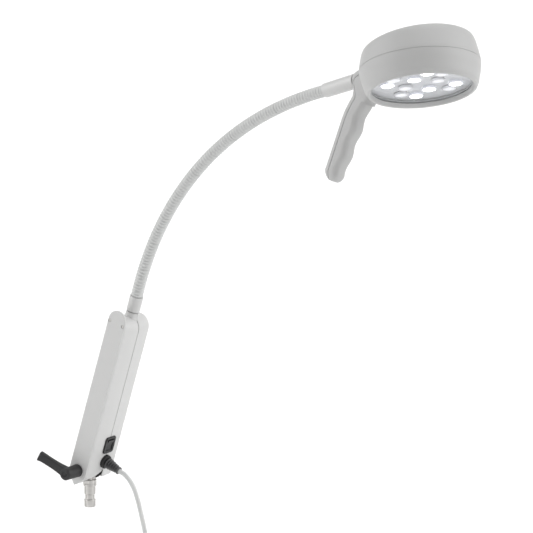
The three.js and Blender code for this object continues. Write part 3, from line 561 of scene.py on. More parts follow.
edge = casing["edge"]
step = 0.01 * mm
plateBack = casing["plateY"] + casing["plateThick"]
slotFront = -casing["slotHalf"]
seamFront = casing["partingY"] - casing["seamGap"]
seamRear = casing["partingY"] + casing["seamGap"]
frontRows = [
    (casing["plateY"], "point", edge, True),
    (casing["plateY"] + edge * 0.3, "point", edge * 0.3, True),
    (casing["plateY"] + edge, "point", 0, True),
    (plateBack - edge * 0.6, "point", 0, True),
    (plateBack, "point", edge * 0.5, True),
    (plateBack + step, "point", 0, False),
    *[(y, "point", 0, False) for y in np.linspace(plateBack + 4 * mm, slotFront - 0.8 * mm, 5)],
    (slotFront, "point", 0, False, 0.6 * mm),
    (slotFront + step, "slot", 0, False),
    (slotFront + 0.5 * (seamFront - slotFront), "slot", 0, False),
    (seamFront - 0.5 * mm, "slot", 0, False),
    (seamFront, "slot", 0.45 * mm, False),
]
rearRows = [
    (seamRear, "washer", 0.45 * mm, False),
    (seamRear + 0.5 * mm, "washer", 0, False),
    (casing["slotHalf"], "washer", 0, False),
    (casing["slotHalf"] + step, "rear", 0, False, 0.5 * mm),
    (casing["slotHalf"] + 0.7 * mm, "rear", 0, False),
    *[(y, "rear", 0, False) for y in np.linspace(12 * mm, casing["rearY"] - casing["topRound"], 4)],
    *[
        (casing["rearY"] - casing["topRound"] * (1 - math.sin(t)), "rear", 0, False)
        for t in np.linspace(0.12, 0.995 * math.pi / 2, 14)
    ],
]
frontShell = casingShell("casingFront", frontRows)
rearShell = casingShell("casingRear", rearRows)

# The two case screws sit in round recesses near the plate's top.
recessPairs = [
    (0, -1 * mm),
    (casing["screwRoom"], -1 * mm),
    (casing["screwRoom"], casing["screwDepth"]),
    (0, casing["screwDepth"]),
]
for side in (-1, 1):
    screwAt = (side * casing["screwAcross"], casing["plateY"], casing["screwHeight"])
    recessAt = casingFrame @ Matrix.Translation(screwAt)
    cutter = turnedPiece("screwRecess", recessPairs, materials["paleShell"], alongY(recessAt), 32)
    recess = frontShell.modifiers.new("recess", "BOOLEAN")
    recess.operation = "DIFFERENCE"
    recess.object = cutter
    cutShell = frontShell.evaluated_get(bpy.context.evaluated_depsgraph_get())
    frontShell.data = bpy.data.meshes.new_from_object(cutShell)
    frontShell.modifiers.clear()
    bpy.data.objects.remove(cutter)
# The plate's one big face stays flat around them.
shellFaces = frontShell.data.polygons
faceAreas = np.zeros(len(shellFaces))
shellFaces.foreach_get("area", faceAreas)
shellFaces.foreach_set("use_smooth", faceAreas < casing["flatFace"])

# The boss flares out of the casing's top, split by the same parting line.
bossFlare = 15 * mm
bossPairs = [(0, casing["bossTop"] - bossFlare)] + [
    (casing["bossRadius"] + 5.2 * mm * (1 - t) ** 2.4, casing["bossTop"] - bossFlare * (1 - t))
    for t in np.linspace(0, 0.97, 14)
] + [(casing["bossRadius"] - 0.5 * mm, casing["bossTop"]), (0, casing["bossTop"])]


def bossHalf(name, start, shift):
    grid = turnedGrid(bossPairs, 37, start, 180)
    at = casingFrame @ Matrix.Translation((0, casing["partingY"] + shift, 0))
    return gridPiece(name, grid, materials["paleShell"], at)


bossFront = bossHalf("bossFront", 180, -casing["seamGap"])
bossRear = bossHalf("bossRear", 0, casing["seamGap"])
# The dark line between the shells is the tongue of the joint, set in from the surface and coloured
# near-black: painted shade for the gap between the shells.
seamHalf = casing["partingHalf"] - 0.9 * mm
seamTop = ridgeHeight(casing["partingY"]) - 0.9 * mm
seamWall, seamFoot = casing["seamWall"], casing["seamFoot"]
seamArc = arcPairs(0, seamTop - seamHalf, seamHalf, 0, 180, 36)
seamOutline = [
    *seamArc,
    (-seamHalf, seamFoot),
    (-seamHalf + seamWall, seamFoot),
    *[(-x * (1 - seamWall / seamHalf), z - seamWall) for x, z in seamArc],
    (seamHalf - seamWall, seamFoot),
    (seamHalf, seamFoot),
]
seamGrid = [[(x, y, z) for x, z in seamOutline] for y in (seamFront - 0.3 * mm, seamRear + 0.3 * mm)]
caseSeamShade = gridPiece("casingSeamShade", seamGrid, materials["seam"], casingFrame)
for piece in (frontShell, bossFront, rearShell, bossRear):
    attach(piece, "casing")
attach(caseSeamShade, "casing")
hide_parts("front_shell")
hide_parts("rear_shell")
print("stage: casing")

# ---- spigot ----
spigot = {
    "radius": 8 * mm,
    "length": 29.7 * mm,
    "collar": 9.25 * mm,
    "collarHeight": 3.4 * mm,
    "flatCollarHeight": 9.1 * mm,
    "flatCollarHalf": 7.9 * mm,
    "groove": 6.7 * mm,
    "grooveTop": 11.8 * mm,
    "grooveWidth": 7 * mm,
    "knuckle": 14.6 * mm,
    "knuckleHalf": 5.6 * mm,
    "knuckleEdge": 3 * mm,
    "stem": 6.5 * mm,
}
r, c = spigot["radius"], 0.5 * mm
grooveLow = -spigot["grooveTop"] - spigot["grooveWidth"]
spigotPairs = [
    (0, -spigot["length"]),
    (r - 2 * c, -spigot["length"]),
    (r - 0.3 * c, -spigot["length"] + c),
    (r, -spigot["length"] + 2 * c),
    (r, grooveLow - 2 * c),
    (r - c, grooveLow - 0.6 * c),
    (spigot["groove"] + c, grooveLow - 0.3 * c),
    (spigot["groove"], grooveLow + c),
    (spigot["groove"], -spigot["grooveTop"] - c),
    (spigot["groove"] + c, -spigot["grooveTop"]),
    (r - c, -spigot["grooveTop"]),
    (r, -spigot["grooveTop"] + c),
    (r, -c * 0.6),
    (r + 0.4 * c, 0),
    (spigot["collar"] - c, 0),
    (spigot["collar"], c),
    (spigot["collar"], spigot["collarHeight"] - c),
    (spigot["collar"] - c, spigot["collarHeight"]),
    (0, spigot["collarHeight"]),
]
spigotPost = turnedPiece("spigotPost", spigotPairs, materials["nickel"], smoothAngle=25)
k, half, e = spigot["knuckle"], spigot["knuckleHalf"], spigot["knuckleEdge"]
knucklePairs = (
    [(0, -half)]
    + arcPairs(k - e, -half + e, e, -90, 0, 6)
    + arcPairs(k - e, half - e, e, 0, 90, 6)
    + [(0, half)]
)
knuckleFrame = alongY(Matrix.Translation(pivot))
knuckle = turnedPiece("spigotKnuckle", knucklePairs, materials["nickel"], knuckleFrame, 96)
# Above its lower ring the collar is cut flat, front and rear.
collarAngles = np.linspace(0, 2 * math.pi, 72, endpoint=False)
turnedCollar = [(spigot["collar"] * math.cos(t), spigot["collar"] * math.sin(t)) for t in collarAngles]
flatHalf, collarTop = spigot["flatCollarHalf"], spigot["flatCollarHeight"]
collarRows = [(spigot["collarHeight"] - 1 * mm, 1), (collarTop - 0.5 * mm, 1), (collarTop, 0.95)]
collarGrid = []
for z, scale in collarRows:
    collarGrid.append([(x * scale, min(max(y, -flatHalf), flatHalf) * scale, z) for x, y in turnedCollar])
collarPiece = gridPiece("spigotCollar", collarGrid, materials["nickel"])
stemOutline = roundedOutline(spigot["stem"], spigot["knuckleHalf"] - 0.2 * mm, 1.5 * mm)
stemGrid = [[(x, y, z) for x, y in stemOutline] for z in (spigot["collarHeight"] - 1 * mm, pivot.z - 9 * mm)]
stem = gridPiece("spigotStem", stemGrid, materials["nickel"])
for piece in (spigotPost, collarPiece, knuckle, stem):
    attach(piece, "spigot")
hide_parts("spigot")
print("stage: spigot")

# ---- lever ----
lever = {
    "hubRadius": 9 * mm,
    "hubLength": 30 * mm,
    "gap": 0.3 * mm,
    "reach": 46 * mm,
    "angle": 29.5,
    "rise": 12 * mm,
    "elbowDrop": 8 * mm,
    "edge": 1.6 * mm,
    "halfWide": 6.6 * mm,
    "rootThick": 7.4 * mm,
    "armThick": 3.6 * mm,
    "endLip": 1.6 * mm,
    "screwRadius": 3.7 * mm,
    "screwDepth": 2.2 * mm,
    "bore": 6.75 * mm,
    "boreDepth": 18.4 * mm,
}
hubFace = casing["plateY"] - lever["gap"]
hubEnd = casing["plateY"] - lever["hubLength"]
h, e, s = lever["hubRadius"], lever["edge"], lever["screwRadius"]
bore, boreEnd = lever["bore"], casing["plateY"] - lever["boreDepth"]
screwFloor = hubEnd + lever["screwDepth"]
hubPairs = (
    [(0, boreEnd), (bore, boreEnd), (bore, hubFace), (h - 0.8 * mm, hubFace), (h, hubFace - 0.8 * mm)]
    + arcPairs(h - e - 0.5 * mm, hubEnd + e, e, 0, -90, 5)
    + [(s + 0.6 * mm, hubEnd), (s, hubEnd + 0.5 * mm), (s, screwFloor), (0, screwFloor)]
)
leverFrame = Matrix.Translation(pivot)
hub = turnedPiece("leverHub", hubPairs, materials["lever"], alongY(leverFrame))
# The arm is a bar of rounded sections that thins from the elbow, with a raised lip at its blunt end.
armTurn = Matrix.Rotation(-math.radians(180 - lever["angle"]), 4, "Y")
armFrame = leverFrame @ armTurn
elbow = hubEnd + lever["elbowDrop"]
armLean = math.atan2(lever["rise"], lever["reach"])
armSections = []
for share in [*np.linspace(0, 0.96, 22), 0.985, 1]:
    out = share * lever["reach"]
    rise = elbow - lever["rise"] * share
    thin = min(share / 0.6, 1)
    halfThick = lever["rootThick"] + (lever["armThick"] - lever["rootThick"]) * thin * (2 - thin)
    lip = lever["endLip"] * max(0, (share - 0.84) / 0.16) ** 2
    halfWide = lever["halfWide"] * (1 - 0.06 * math.sin(math.pi * share))
    if share > 0.97:
        trim = 0.9 * mm * ((share - 0.97) / 0.03) ** 2
        halfThick, halfWide = halfThick - trim, halfWide - trim
    outline = roundedOutline(halfThick, halfWide, 1.7 * mm, 5)
    row = []
    for a, b in outline:
        # the lip stands up along the arm's upper side
        b = b + lip * (b > 0)
        row.append((out + a * math.sin(armLean), rise + a * math.cos(armLean), b))
    armSections.append(row)
arm = gridPiece("leverArm", armSections, materials["lever"], armFrame)
for piece in (hub, arm):
    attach(piece, "lever")
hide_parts("lever")
print("stage: lever")

# ---- switch ----
switch = {
    "face": 17.4 * mm,
    "y": 6 * mm,
    "height": 41 * mm,
    "halfWide": 10.9 * mm,
    "halfTall": 12.45 * mm,
    "corner": 4 * mm,
    "rockerWide": 6.4 * mm,
    "rockerTall": 8.1 * mm,
    "rockerTilt": 8,
}
# Rings from the wall outwards, over the rim and down into the pocket: (inset, height) in mm.
switchRings = [
    (0, -1.5), (0, 1.1), (0.25, 1.6), (0.8, 2.0), (2.2, 2.0), (2.8, 1.75), (3.6, 1.5), (4.1, 1.2), (4.2, -5)
]
switchFrame = casingFrame @ Matrix.Translation((switch["face"], switch["y"], switch["height"]))
switchGrid = []
for inset, raised in switchRings:
    insetBy = inset * mm
    corner = max(switch["corner"] - insetBy * 0.7, 1 * mm)
    outline = roundedOutline(switch["halfWide"] - insetBy, switch["halfTall"] - insetBy * 0.95, corner)
    switchGrid.append([(raised * mm, a, b) for a, b in outline])
housing = gridPiece("switchHousing", switchGrid, materials["blackPlastic"], switchFrame)
# The rocker's face is hollowed along its height: x = rise * (z / half)^2.
rockerGrid = []
for share in np.linspace(-1, 1, 25):
    lip = 1 - 0.06 * abs(share) ** 12
    front = (1.6 + 1.5 * share ** 2) * mm - 0.5 * mm * (abs(share) > 0.97)
    wide = switch["rockerWide"] * lip
    back = (-3.2 + 2.2 * abs(share)) * mm
    z = share * switch["rockerTall"]
    rockerGrid.append([(back, -wide, z), (front - 0.5 * mm, -wide, z), (front, -wide + 0.5 * mm, z),
                       (front, wide - 0.5 * mm, z), (front - 0.5 * mm, wide, z), (back, wide, z)])
rockerFrame = (
    casingFrame
    @ Matrix.Translation((switch["face"] - 1.1 * mm, switch["y"], switch["height"]))
    @ Matrix.Rotation(math.radians(switch["rockerTilt"]), 4, "Y")
)
rocker = gridPiece("switchRocker", rockerGrid, materials["blackPlastic"], rockerFrame)
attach(housing, "casing")
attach(rocker, "rocker")
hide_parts("switch_housing")
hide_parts("switch_rocker")
print("stage: switch")

# ---- gland and boot ----
boot = {
    "base": 8 * mm,
    "tip": 5.4 * mm,
    "ribs": 5,
    "inner": 3.5 * mm,
    "groove": 3.4 * mm,
    "disc": 9.8 * mm,
    "thick": 5 * mm,
}
glandFrame = casingFrame @ Matrix.Translation((casing["partingHalf"], cord["y"], cord["glandHeight"]))
d, t = boot["disc"], boot["thick"]
glandPairs = [(0, -1 * mm), (d, -1 * mm), (d, t - 2 * mm)]
glandPairs += arcPairs(d - 2 * mm, t - 2 * mm, 2 * mm, 0, 90, 6) + [(0, t)]
gland = turnedPiece("cordGland", glandPairs, materials["blackRubber"], alongX(glandFrame))
bootEnd = bootStart + bootLength
ribRun = bootLength - 3 * mm
bootPairs = [(boot["inner"], bootStart), (boot["base"], bootStart)]
for share in np.linspace(0, 1, boot["ribs"] * 12 + 1):
    z = bootStart + 1 * mm + ribRun * share
    outer = boot["base"] + (boot["tip"] - boot["base"]) * share
    wave = 0.5 + 0.5 * math.tanh(3 * math.cos(2 * math.pi * boot["ribs"] * share) - 0.6)
    bootPairs.append((max(outer - boot["groove"] * (1 - wave), boot["inner"] + 0.3 * mm), z))
bootPairs += [(boot["tip"], bootEnd - 0.4 * mm), (boot["tip"] - 0.3 * mm, bootEnd), (boot["inner"], bootEnd)]
# The boot's lighter rubber stands in for the highlights on its rib crests.
bootPiece = turnedPiece("cordBoot", bootPairs, materials["boot"], alongX(bootFrame), 56, looped=True)
for piece in (gland, bootPiece):
    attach(piece, "casing")
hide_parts("cord_gland")
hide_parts("cord_boot")
print("stage: boot")

# ---- neck ----
neck = {
    "radius": 8.3 * mm,
    "ribsPerLink": 9,
    "grooveDepth": 0.95 * mm,
    "ball": 7.4 * mm,
    "endRoom": 0.6 * mm,
    "ferruleRadius": 9.25 * mm,
    "ferruleLength": 22 * mm,
    "ferruleLow": 239.3 * mm,
    "upperRadius": 10 * mm,
    "upperLength": 53.4 * mm,
    "edge": 0.9 * mm,
    "sealRadius": 7.4 * mm,
    "stub": 8 * mm,
    "stubRadius": 5 * mm,
}
neckBodies = [f"neck_{i:02d}" for i in range(2, 12)]
neckJoints = {
    joint["child"]: Vector(joint["pos_m"]) for joint in joints.values() if joint["child"] in neckBodies
}
neckStart = casingFrame @ Vector((0, casing["partingY"], neck["ferruleLow"] + neck["ferruleLength"]))
knots = [neckStart, *[neckJoints[body] for body in neckBodies], swivelAt]
linkLength = (knots[2] - knots[1]).length
# The way each length points, and the way the neck points at each joint between two lengths.
directions = [math.atan2(b.z - a.z, b.x - a.x) for a, b in zip(knots, knots[1:])]
headings = [(a + b) / 2 for a, b in zip(directions, directions[1:])]
headings = [2 * directions[0] - headings[0], *headings, 2 * directions[-1] - headings[-1]]


# Ribs: narrow grooves between rounded ribs, by length along the neck.
def neckRadiusAt(along):
    phase = along / linkLength * neck["ribsPerLink"]
    dip = (0.5 + 0.5 * np.cos(2 * math.pi * phase)) ** 2.2
    return neck["radius"] - neck["grooveDepth"] * dip


# One length of neck: a ball about its first joint, then a ribbed arc that stops short of the next joint.
def neckRings(start, end, turnFrom, turnTo, alongFrom):
    around = np.linspace(0, 2 * math.pi, 32, endpoint=False)
    bend = turnTo - turnFrom
    length = (end - start).length
    arcRadius = length / 2 / math.sin(bend / 2)

    def arcStep(heading):
        step = np.array([math.sin(heading) - math.sin(turnFrom), 0, math.cos(turnFrom) - math.cos(heading)])
        return arcRadius * step

    # what the arc misses the next joint by is shared out along it
    miss = np.array(end - start) - arcStep(turnTo)
    rings = []

    def addRing(centre, heading, radius):
        normal = np.array([-math.sin(heading), 0, math.cos(heading)])
        aside = np.array([0, 1, 0])
        rings.append(centre + radius * (np.cos(around)[:, None] * normal + np.sin(around)[:, None] * aside))

    forwards = np.array([math.cos(turnFrom), 0, math.sin(turnFrom)])
    for t in np.linspace(0.12, math.pi / 2, 8):
        addRing(np.array(start) - neck["ball"] * math.cos(t) * forwards, turnFrom, neck["ball"] * math.sin(t))
    stop = neck["endRoom"] / length
    for share in np.linspace(stop, 1 - stop, neck["ribsPerLink"] * 10):
        heading = turnFrom + bend * share
        centre = np.array(start) + arcStep(heading) + miss * share
        addRing(centre, heading, neckRadiusAt(alongFrom + linkLength * share))
    return rings


for index, body in enumerate(["casing", *neckBodies]):
    ends = (knots[index], knots[index + 1], headings[index], headings[index + 1])
    rings = neckRings(*ends, index * linkLength)
    sleeve = gridPiece(f"neckSleeve{index + 1:02d}", rings, materials["neckSleeve"])
    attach(sleeve, body)
    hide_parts(f"neck_segment_{index + 1:02d}")

low, r, e = neck["ferruleLow"], neck["ferruleRadius"], neck["edge"]
high = low + neck["ferruleLength"]
ferrulePairs = (
    [(0, low)] + arcPairs(r - e, low + e, e, -90, 0, 5) + arcPairs(r - e, high - e, e, 0, 90, 5) + [(0, high)]
)
ferruleFrame = casingFrame @ Matrix.Translation((0, casing["partingY"], 0))
lowerFerrule = turnedPiece("lowerFerrule", ferrulePairs, materials["ferrule"], ferruleFrame)
sealRadius, sealLow, sealHigh = neck["sealRadius"], casing["bossTop"] - 1 * mm, low + 0.5 * mm
sealPairs = [(0, sealLow), (sealRadius, sealLow), (sealRadius, sealHigh), (0, sealHigh)]
seal = turnedPiece("ferruleSeal", sealPairs, materials["seam"], ferruleFrame)
for piece, slotName in ((lowerFerrule, "ferrule"), (seal, "black_rubber")):
    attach(piece, "casing")
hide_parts("lower_ferrule")
r, length = neck["upperRadius"], neck["upperLength"]
stub, stubEnd = neck["stubRadius"], length + neck["stub"]
upperPairs = [(0, 0.3 * mm)] + arcPairs(r - 0.2 * mm - e, 0.3 * mm + e, e, -90, 0, 5)
upperPairs += [(r + 0.2 * mm, length - 0.5 * mm), (r - 0.3 * mm, length)]
upperPairs += [(stub, length), (stub, stubEnd), (0, stubEnd)]
upperFerrule = turnedPiece("upperFerrule", upperPairs, materials["ferrule"], alongX(neckEndFrame))
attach(upperFerrule, "neck_11")
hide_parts("upper_ferrule")
print("stage: neck")

# ---- head shells ----
head = {
    "radius": 81.5 * mm,
    "seam": 32 * mm,
    "rise": 0.19,
    "riseRadius": 80 * mm,
    "windowRadius": 72.2 * mm,
    "windowLow": 3.4 * mm,
    "windowHigh": 5.4 * mm,
    "windowEdge": 0.4 * mm,
    "around": 144,
}
# Profiles from the axis out, as (radius, height) in mm.
rimMm = head["radius"] / mm
crownOuter = [
    (rimMm - 0.2, 32.2), (rimMm, 32.5), (rimMm - 0.3, 36), (rimMm - 1.4, 42), (rimMm - 3.2, 50),
    (rimMm - 5.2, 57),
    (rimMm - 8.7, 62), (rimMm - 18.7, 66), (rimMm - 34, 68), (rimMm - 52, 68.8), (rimMm - 68, 69),
    (0, 69),
]
rimOuter = [
    (69, 0), (69.6, -1.5), (71.4, -2.5), (73.2, -1.6), (74.3, 0.3), (76.2, 4), (78.2, 12),
    (80.6, 22), (rimMm - 0.1, 30), (rimMm, 31.5), (rimMm - 0.2, 31.85),
]
crownInner = [(0, 65.8), (rimMm - 26, 63), (rimMm - 12, 58), (rimMm - 3.5, 40), (rimMm - 3, 32.35)]
rimInner = [
    (rimMm - 3, 31.75), (rimMm - 4, 22), (75.5, 12), (72.6, 5.1), (72.6, 3.1), (67.6, 3.1), (67.8, 2.8)
]
# A dark ring set in the gap between crown and rim: painted shade along the head's seam.
seamRing = [(rimMm - 1.6, 31), (rimMm - 0.9, 31), (rimMm - 0.9, 33), (rimMm - 1.6, 33)]


def inMm(pairs):
    return [(x * mm, y * mm) for x, y in pairs]


def smoothPairs(pairs, count):
    # Catmull-Rom through the profile points
    pts = np.array(pairs)
    pts = np.vstack([2 * pts[0] - pts[1], pts, 2 * pts[-1] - pts[-2]])
    out = []
    for i in range(1, len(pts) - 2):
        for t in np.linspace(0, 1, count, endpoint=False):
            a, b, c, d = pts[i - 1:i + 3]
            out.append(0.5 * (2 * b + (c - a) * t + (2 * a - 5 * b + 4 * c - d) * t ** 2
                              + (3 * b - a - 3 * c + d) * t ** 3))
    out.append(pts[-2])
    return [(max(x, 0) * mm, y * mm) for x, y in out]


# The crown leans up towards the front: z grows by rise * (z - seam) * x / riseRadius.
def raisedGrid(grid):
    grid = np.array(grid)
    above = np.maximum(grid[..., 2] - head["seam"], 0)
    grid[..., 2] += above * head["rise"] * grid[..., 0] / head["riseRadius"]
    return grid


crownGrid = raisedGrid(turnedGrid(inMm(crownInner) + smoothPairs(crownOuter, 5), head["around"]))
crown = gridPiece("headCrown", crownGrid, materials["headShellShaded"], headFrame)
rimPairs = smoothPairs(rimOuter, 4) + inMm(rimInner)
rim = turnedPiece("headRim", rimPairs, materials["headShellShaded"], headFrame, head["around"], looped=True)
# The seam ring takes the painted shade colour.
seamShadeMaterial = materials["headSeamShade"]
headSeamShade = turnedPiece("headSeamShade", inMm(seamRing), seamShadeMaterial, headFrame, head["around"], looped=True)
for piece in (crown, rim):
    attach(piece, "head")
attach(headSeamShade, "head")
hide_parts("crown_shell")
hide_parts("rim_shell")

# ---- window and lenses ----
low, high, e, r = head["windowLow"], head["windowHigh"], head["windowEdge"], head["windowRadius"]
windowPairs = [(0, low), (r - e, low), (r, low + e), (r, high - e), (r - e, high), (0, high)]
window = turnedPiece("headWindow", windowPairs, materials["window"], headFrame, head["around"])
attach(window, "head")
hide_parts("window")

lens = {
    "radius": 10 * mm,
    "face": 6 * mm,
    "height": 8.8 * mm,
    "taper": 3.5 * mm,
    "innerCircle": 24 * mm,
    "outerCircle": 46 * mm,
    "innerAngles": (75, 165, 255, 345),
    "outerAngles": (14, 41, 104, 131, 194, 221, 284, 311),
    "lit": (75, 255, 41, 131, 221, 311),
    "power": 6,
    "paintedSpillGlow": 0.04,
    "glowEdge": 0.8,
    "ringStart": 0.88,
    "ringEnd": 0.95,
    "bulge": 0.9 * mm,
    "side": 1.6 * mm,
    "around": 40,
}


# The rings seen across a lens: a bright middle, a dark ring near the edge and a pale rim.
def makeLensRingGroup():
    group = bpy.data.node_groups.new("lensRings", "ShaderNodeTree")
    group.interface.new_socket(name="From Centre", in_out="INPUT", socket_type="NodeSocketFloat")
    for socket in ("Glow", "Tint"):
        group.interface.new_socket(name=socket, in_out="OUTPUT", socket_type="NodeSocketColor")
    nodes, links = group.nodes, group.links
    inward, outward = nodes.new("NodeGroupInput"), nodes.new("NodeGroupOutput")
    glow = nodes.new("ShaderNodeValToRGB")
    glow.color_ramp.elements[0].position = lens["glowEdge"]
    glow.color_ramp.elements[0].color = (1, 1, 1, 1)
    glow.color_ramp.elements[1].position = lens["ringStart"]
    glow.color_ramp.elements[1].color = (0.03, 0.031, 0.038, 1)
    tint = nodes.new("ShaderNodeValToRGB")
    tint.color_ramp.elements[0].color = (0.9, 0.91, 0.96, 1)
    tint.color_ramp.elements[1].color = (0.8, 0.81, 0.86, 1)
    ringStops = ((lens["ringStart"] - 0.03, 0.8), (lens["ringStart"], 0.25), (lens["ringEnd"], 0.25))
    for position, grey in ringStops:
        stop = tint.color_ramp.elements.new(position)
        stop.color = (grey, grey, grey * 1.06, 1)
    for ramp, socket in ((glow, "Glow"), (tint, "Tint")):
        links.new(inward.outputs["From Centre"], ramp.inputs["Fac"])
        links.new(ramp.outputs["Color"], outward.inputs[socket])
    return group


lensRings = makeLensRingGroup()


# A lens reads its rings by the fromCentre attribute. A lit one glows inside them.
def makeLensMaterial(name, power):
    material = bpy.data.materials.new(name)
    material.use_nodes = True
    nodes, links = material.node_tree.nodes, material.node_tree.links
    shader = nodes["Principled BSDF"]
    shader.inputs["Roughness"].default_value = 0.1
    shader.inputs["Coat Weight"].default_value = 0.5
    shader.inputs["Emission Strength"].default_value = power
    radial = nodes.new("ShaderNodeAttribute")
    radial.attribute_name = "fromCentre"
    rings = nodes.new("ShaderNodeGroup")
    rings.node_tree = lensRings
    links.new(radial.outputs["Fac"], rings.inputs["From Centre"])
    links.new(rings.outputs["Glow"], shader.inputs["Emission Color"])
    links.new(rings.outputs["Tint"], shader.inputs["Base Color"])
    return material


litMaterial = makeLensMaterial("litLens", lens["power"])
# The unlit lenses glow faintly too: painted light, standing in for light spilled from the lit ones.
unlitMaterial = makeLensMaterial("unlitLens", lens["paintedSpillGlow"])
# The face bulges by bulge * (1 - share^2).
lensPairs = [
    *[(t * lens["radius"], lens["face"] - lens["bulge"] * (1 - t ** 2)) for t in np.linspace(0, 1, 14)],
    (lens["radius"], lens["face"] + lens["side"]),
    (lens["radius"] - lens["taper"], lens["face"] + lens["height"]),
    (0, lens["face"] + lens["height"]),
]
spots = [(lens["innerCircle"], angle) for angle in lens["innerAngles"]]
spots += [(lens["outerCircle"], angle) for angle in lens["outerAngles"]]
for index, (circle, angle) in enumerate(spots):
    material = litMaterial if angle in lens["lit"] else unlitMaterial
    t = math.radians(angle)
    at = headFrame @ Matrix.Translation((circle * math.cos(t), -circle * math.sin(t), 0))
    piece = turnedPiece(f"lens{index + 1:02d}", lensPairs, material, at, lens["around"])
    radial = piece.data.attributes.new("fromCentre", "FLOAT", "POINT")
    share = np.repeat([pair[0] / lens["radius"] for pair in lensPairs], lens["around"])
    radial.data.foreach_set("value", share.astype(np.float32))
    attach(piece, "head")
    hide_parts(f"lens_{index + 1:02d}")
print("stage: head")

# ---- handle ----
grip = {
    "blockX": -110 * mm,
    "blockLow": 24 * mm,
    "halfThick": 12 * mm,
    "lean": 32,
    "shaftStart": 4 * mm,
    "shaftEnd": 108 * mm,
    "tip": 12 * mm,
    "tipForward": 2.5 * mm,
    "backDip": 6 * mm,
    "backRun": 36 * mm,
    "depth": 25.2 * mm,
    "taper": 0.04,
    "pitch": 36 * mm,
    "wave": 1.6 * mm,
    "firstGroove": 28 * mm,
    "coverDepth": 10 * mm,
    "corner": 8.5 * mm,
    "gap": 0.42 * mm,
}
lean = math.radians(grip["lean"])
down = np.array([-math.sin(lean), -math.cos(lean)])
forward = np.array([math.cos(lean), -math.sin(lean)])
gripTop = np.array([grip["blockX"], grip["blockLow"]])


def onGrip(s, f):
    return gripTop + s * down + f * forward


def backEdge(s):
    dip = grip["backDip"] * math.sin(min(s / grip["backRun"], 1) * math.pi / 2)
    return 2.1 * mm * max(0, (s - grip["backRun"]) / (80 * mm)) - dip


def fingerEdge(s):
    wave = grip["wave"] * math.cos(2 * math.pi * (s - grip["firstGroove"]) / grip["pitch"])
    return grip["depth"] - grip["taper"] * s - wave


# Sections run from inside the head, round the block's rear corner, and down to the rounded tip.
# The block's are (back, front) points in mm.
sections = [
    ((-62, 57), (-62, 14)),
    ((-84, 56), (-78, 12)),
    ((-92, 54.8), (-81, 9)),
    ((-100, 54), (-83.5, 6.6)),
    ((-106, 52), (-85, 5)),
    ((-109.6, 48), (-86, 4)),
    ((-110, 37), (-87, 2.6)),
    ((-110, 29), (-88, 1)),
]
gripSections = [(np.array(back) * mm, np.array(front) * mm, 1.0) for back, front in sections]
shaftEnd = grip["shaftEnd"]
for s in np.linspace(grip["shaftStart"], shaftEnd, 50):
    swell = 3.2 * mm * math.exp(-(s / (6.5 * mm)) ** 2)
    front = onGrip(s + 4 * mm * math.exp(-s / (8 * mm)), fingerEdge(s) + swell)
    gripSections.append((onGrip(s, backEdge(s)), front, 1.0))
endBack, endFront = onGrip(shaftEnd, backEdge(shaftEnd)), onGrip(shaftEnd, fingerEdge(shaftEnd))
for t in np.linspace(0.15, 1, 9):
    shrink = math.sqrt(max(1 - (t * 0.97) ** 2, 0))
    middle = (endBack + endFront) / 2 + grip["tip"] * t * down + grip["tipForward"] * t * forward
    half = (endFront - endBack) / 2 * (0.25 + 0.75 * shrink)
    gripSections.append((middle - half, middle + half, 0.35 + 0.65 * shrink))


def gripRows(side):
    rows = []
    for back, front, scale in gripSections:
        depth = np.linalg.norm(front - back)
        across = (front - back) / depth
        thick = grip["halfThick"] * scale
        corner = min(grip["corner"], 0.48 * depth, 0.9 * thick)
        outline = roundedOutline(depth / 2, thick, corner, 8)
        # the seam is a fixed depth in from the back edge
        seam = min(grip["coverDepth"], 0.42 * depth) - depth / 2
        row = []
        for a, b in outline:
            a = min(a, seam - grip["gap"]) if side == "back" else max(a, seam + grip["gap"])
            point = (back + front) / 2 + a * across
            row.append((point[0], b, point[1]))
        rows.append(row)
    return rows


cover = gridPiece("gripCover", gripRows("back"), materials["headShellShaded"], headFrame)
body = gridPiece("gripBody", gripRows("front"), materials["headShellShaded"], headFrame)
for piece in (cover, body):
    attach(piece, "head")
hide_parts("grip_cover")
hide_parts("grip_body")
print("stage: handle")

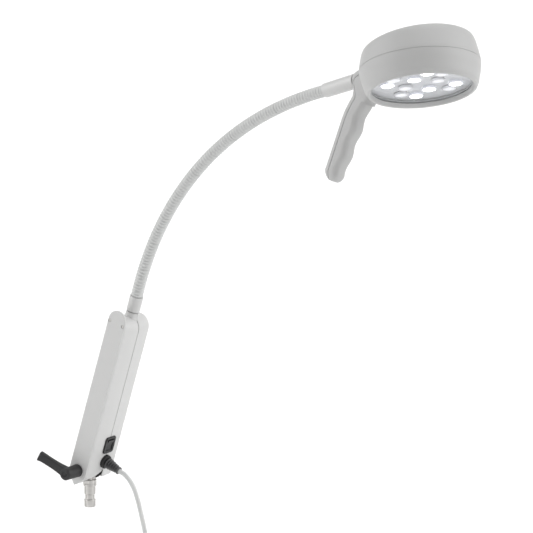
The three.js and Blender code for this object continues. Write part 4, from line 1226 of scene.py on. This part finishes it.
# ---- stage and light ----
studio = {
    "floorDrop": 0.42,
    "floorSize": 60,
    # the room is bright all round and dimmer on the viewer's side
    "world": (0.36, 0.66),
    "dimSide": (0.3, -0.95, 0.05),
    # name: strength, bearing from the front plate, height above the horizon, softness
    "suns": {
        "overhead": (1.25, 150, 80, 60),
        "right": (1.38, 122, 15, 60),
        "left": (1.4, -52, 15, 60),
    },
}
floorLook = {"tint": (0.97, 0.97, 0.97), "roughness": 0.9, "drift": 0.01, "grain": 40, "bump": 0.01}
floorMaterial = grainMaterial("floor", floorLook)
size = studio["floorSize"]
corners = [(-size, -size), (size, -size), (size, size), (-size, size)]
floorPoints = [(x, y, pivot.z - studio["floorDrop"]) for x, y in corners]
floor = meshPiece("floor", floorPoints, [(0, 1, 2, 3)], floorMaterial)
world = bpy.data.worlds.new("studio")
world.use_nodes = True
worldNodes, worldLinks = world.node_tree.nodes, world.node_tree.links
worldNodes["Background"].inputs["Color"].default_value = (1, 1, 1, 1)
direction = worldNodes.new("ShaderNodeTexCoord")
facing = worldNodes.new("ShaderNodeVectorMath")
facing.operation = "DOT_PRODUCT"
facing.inputs[1].default_value = studio["dimSide"]
brightness = worldNodes.new("ShaderNodeMapRange")
brightness.inputs["From Min"].default_value = -0.2
brightness.inputs["From Max"].default_value = 0.9
brightness.inputs["To Min"].default_value = studio["world"][1]
brightness.inputs["To Max"].default_value = studio["world"][0]
worldLinks.new(direction.outputs["Generated"], facing.inputs[0])
worldLinks.new(facing.outputs["Value"], brightness.inputs["Value"])
worldLinks.new(brightness.outputs["Result"], worldNodes["Background"].inputs["Strength"])
bpy.context.scene.world = world


def sunLight(name, strength, azimuth, elevation, softness):
    data = bpy.data.lights.new(name, "SUN")
    data.energy = strength
    data.angle = math.radians(softness)
    lamp = bpy.data.objects.new(name, data)
    a, e = math.radians(azimuth), math.radians(elevation)
    towards = Vector((math.sin(a) * math.cos(e), -math.cos(a) * math.cos(e), math.sin(e)))
    lamp.rotation_euler = towards.to_track_quat("Z", "Y").to_euler()
    bpy.context.scene.collection.objects.link(lamp)


for name, (strength, bearing, height, softness) in studio["suns"].items():
    sunLight(name, strength, bearing, height, softness)
bpy.context.scene.view_settings.view_transform = "Standard"
print("stage: light")
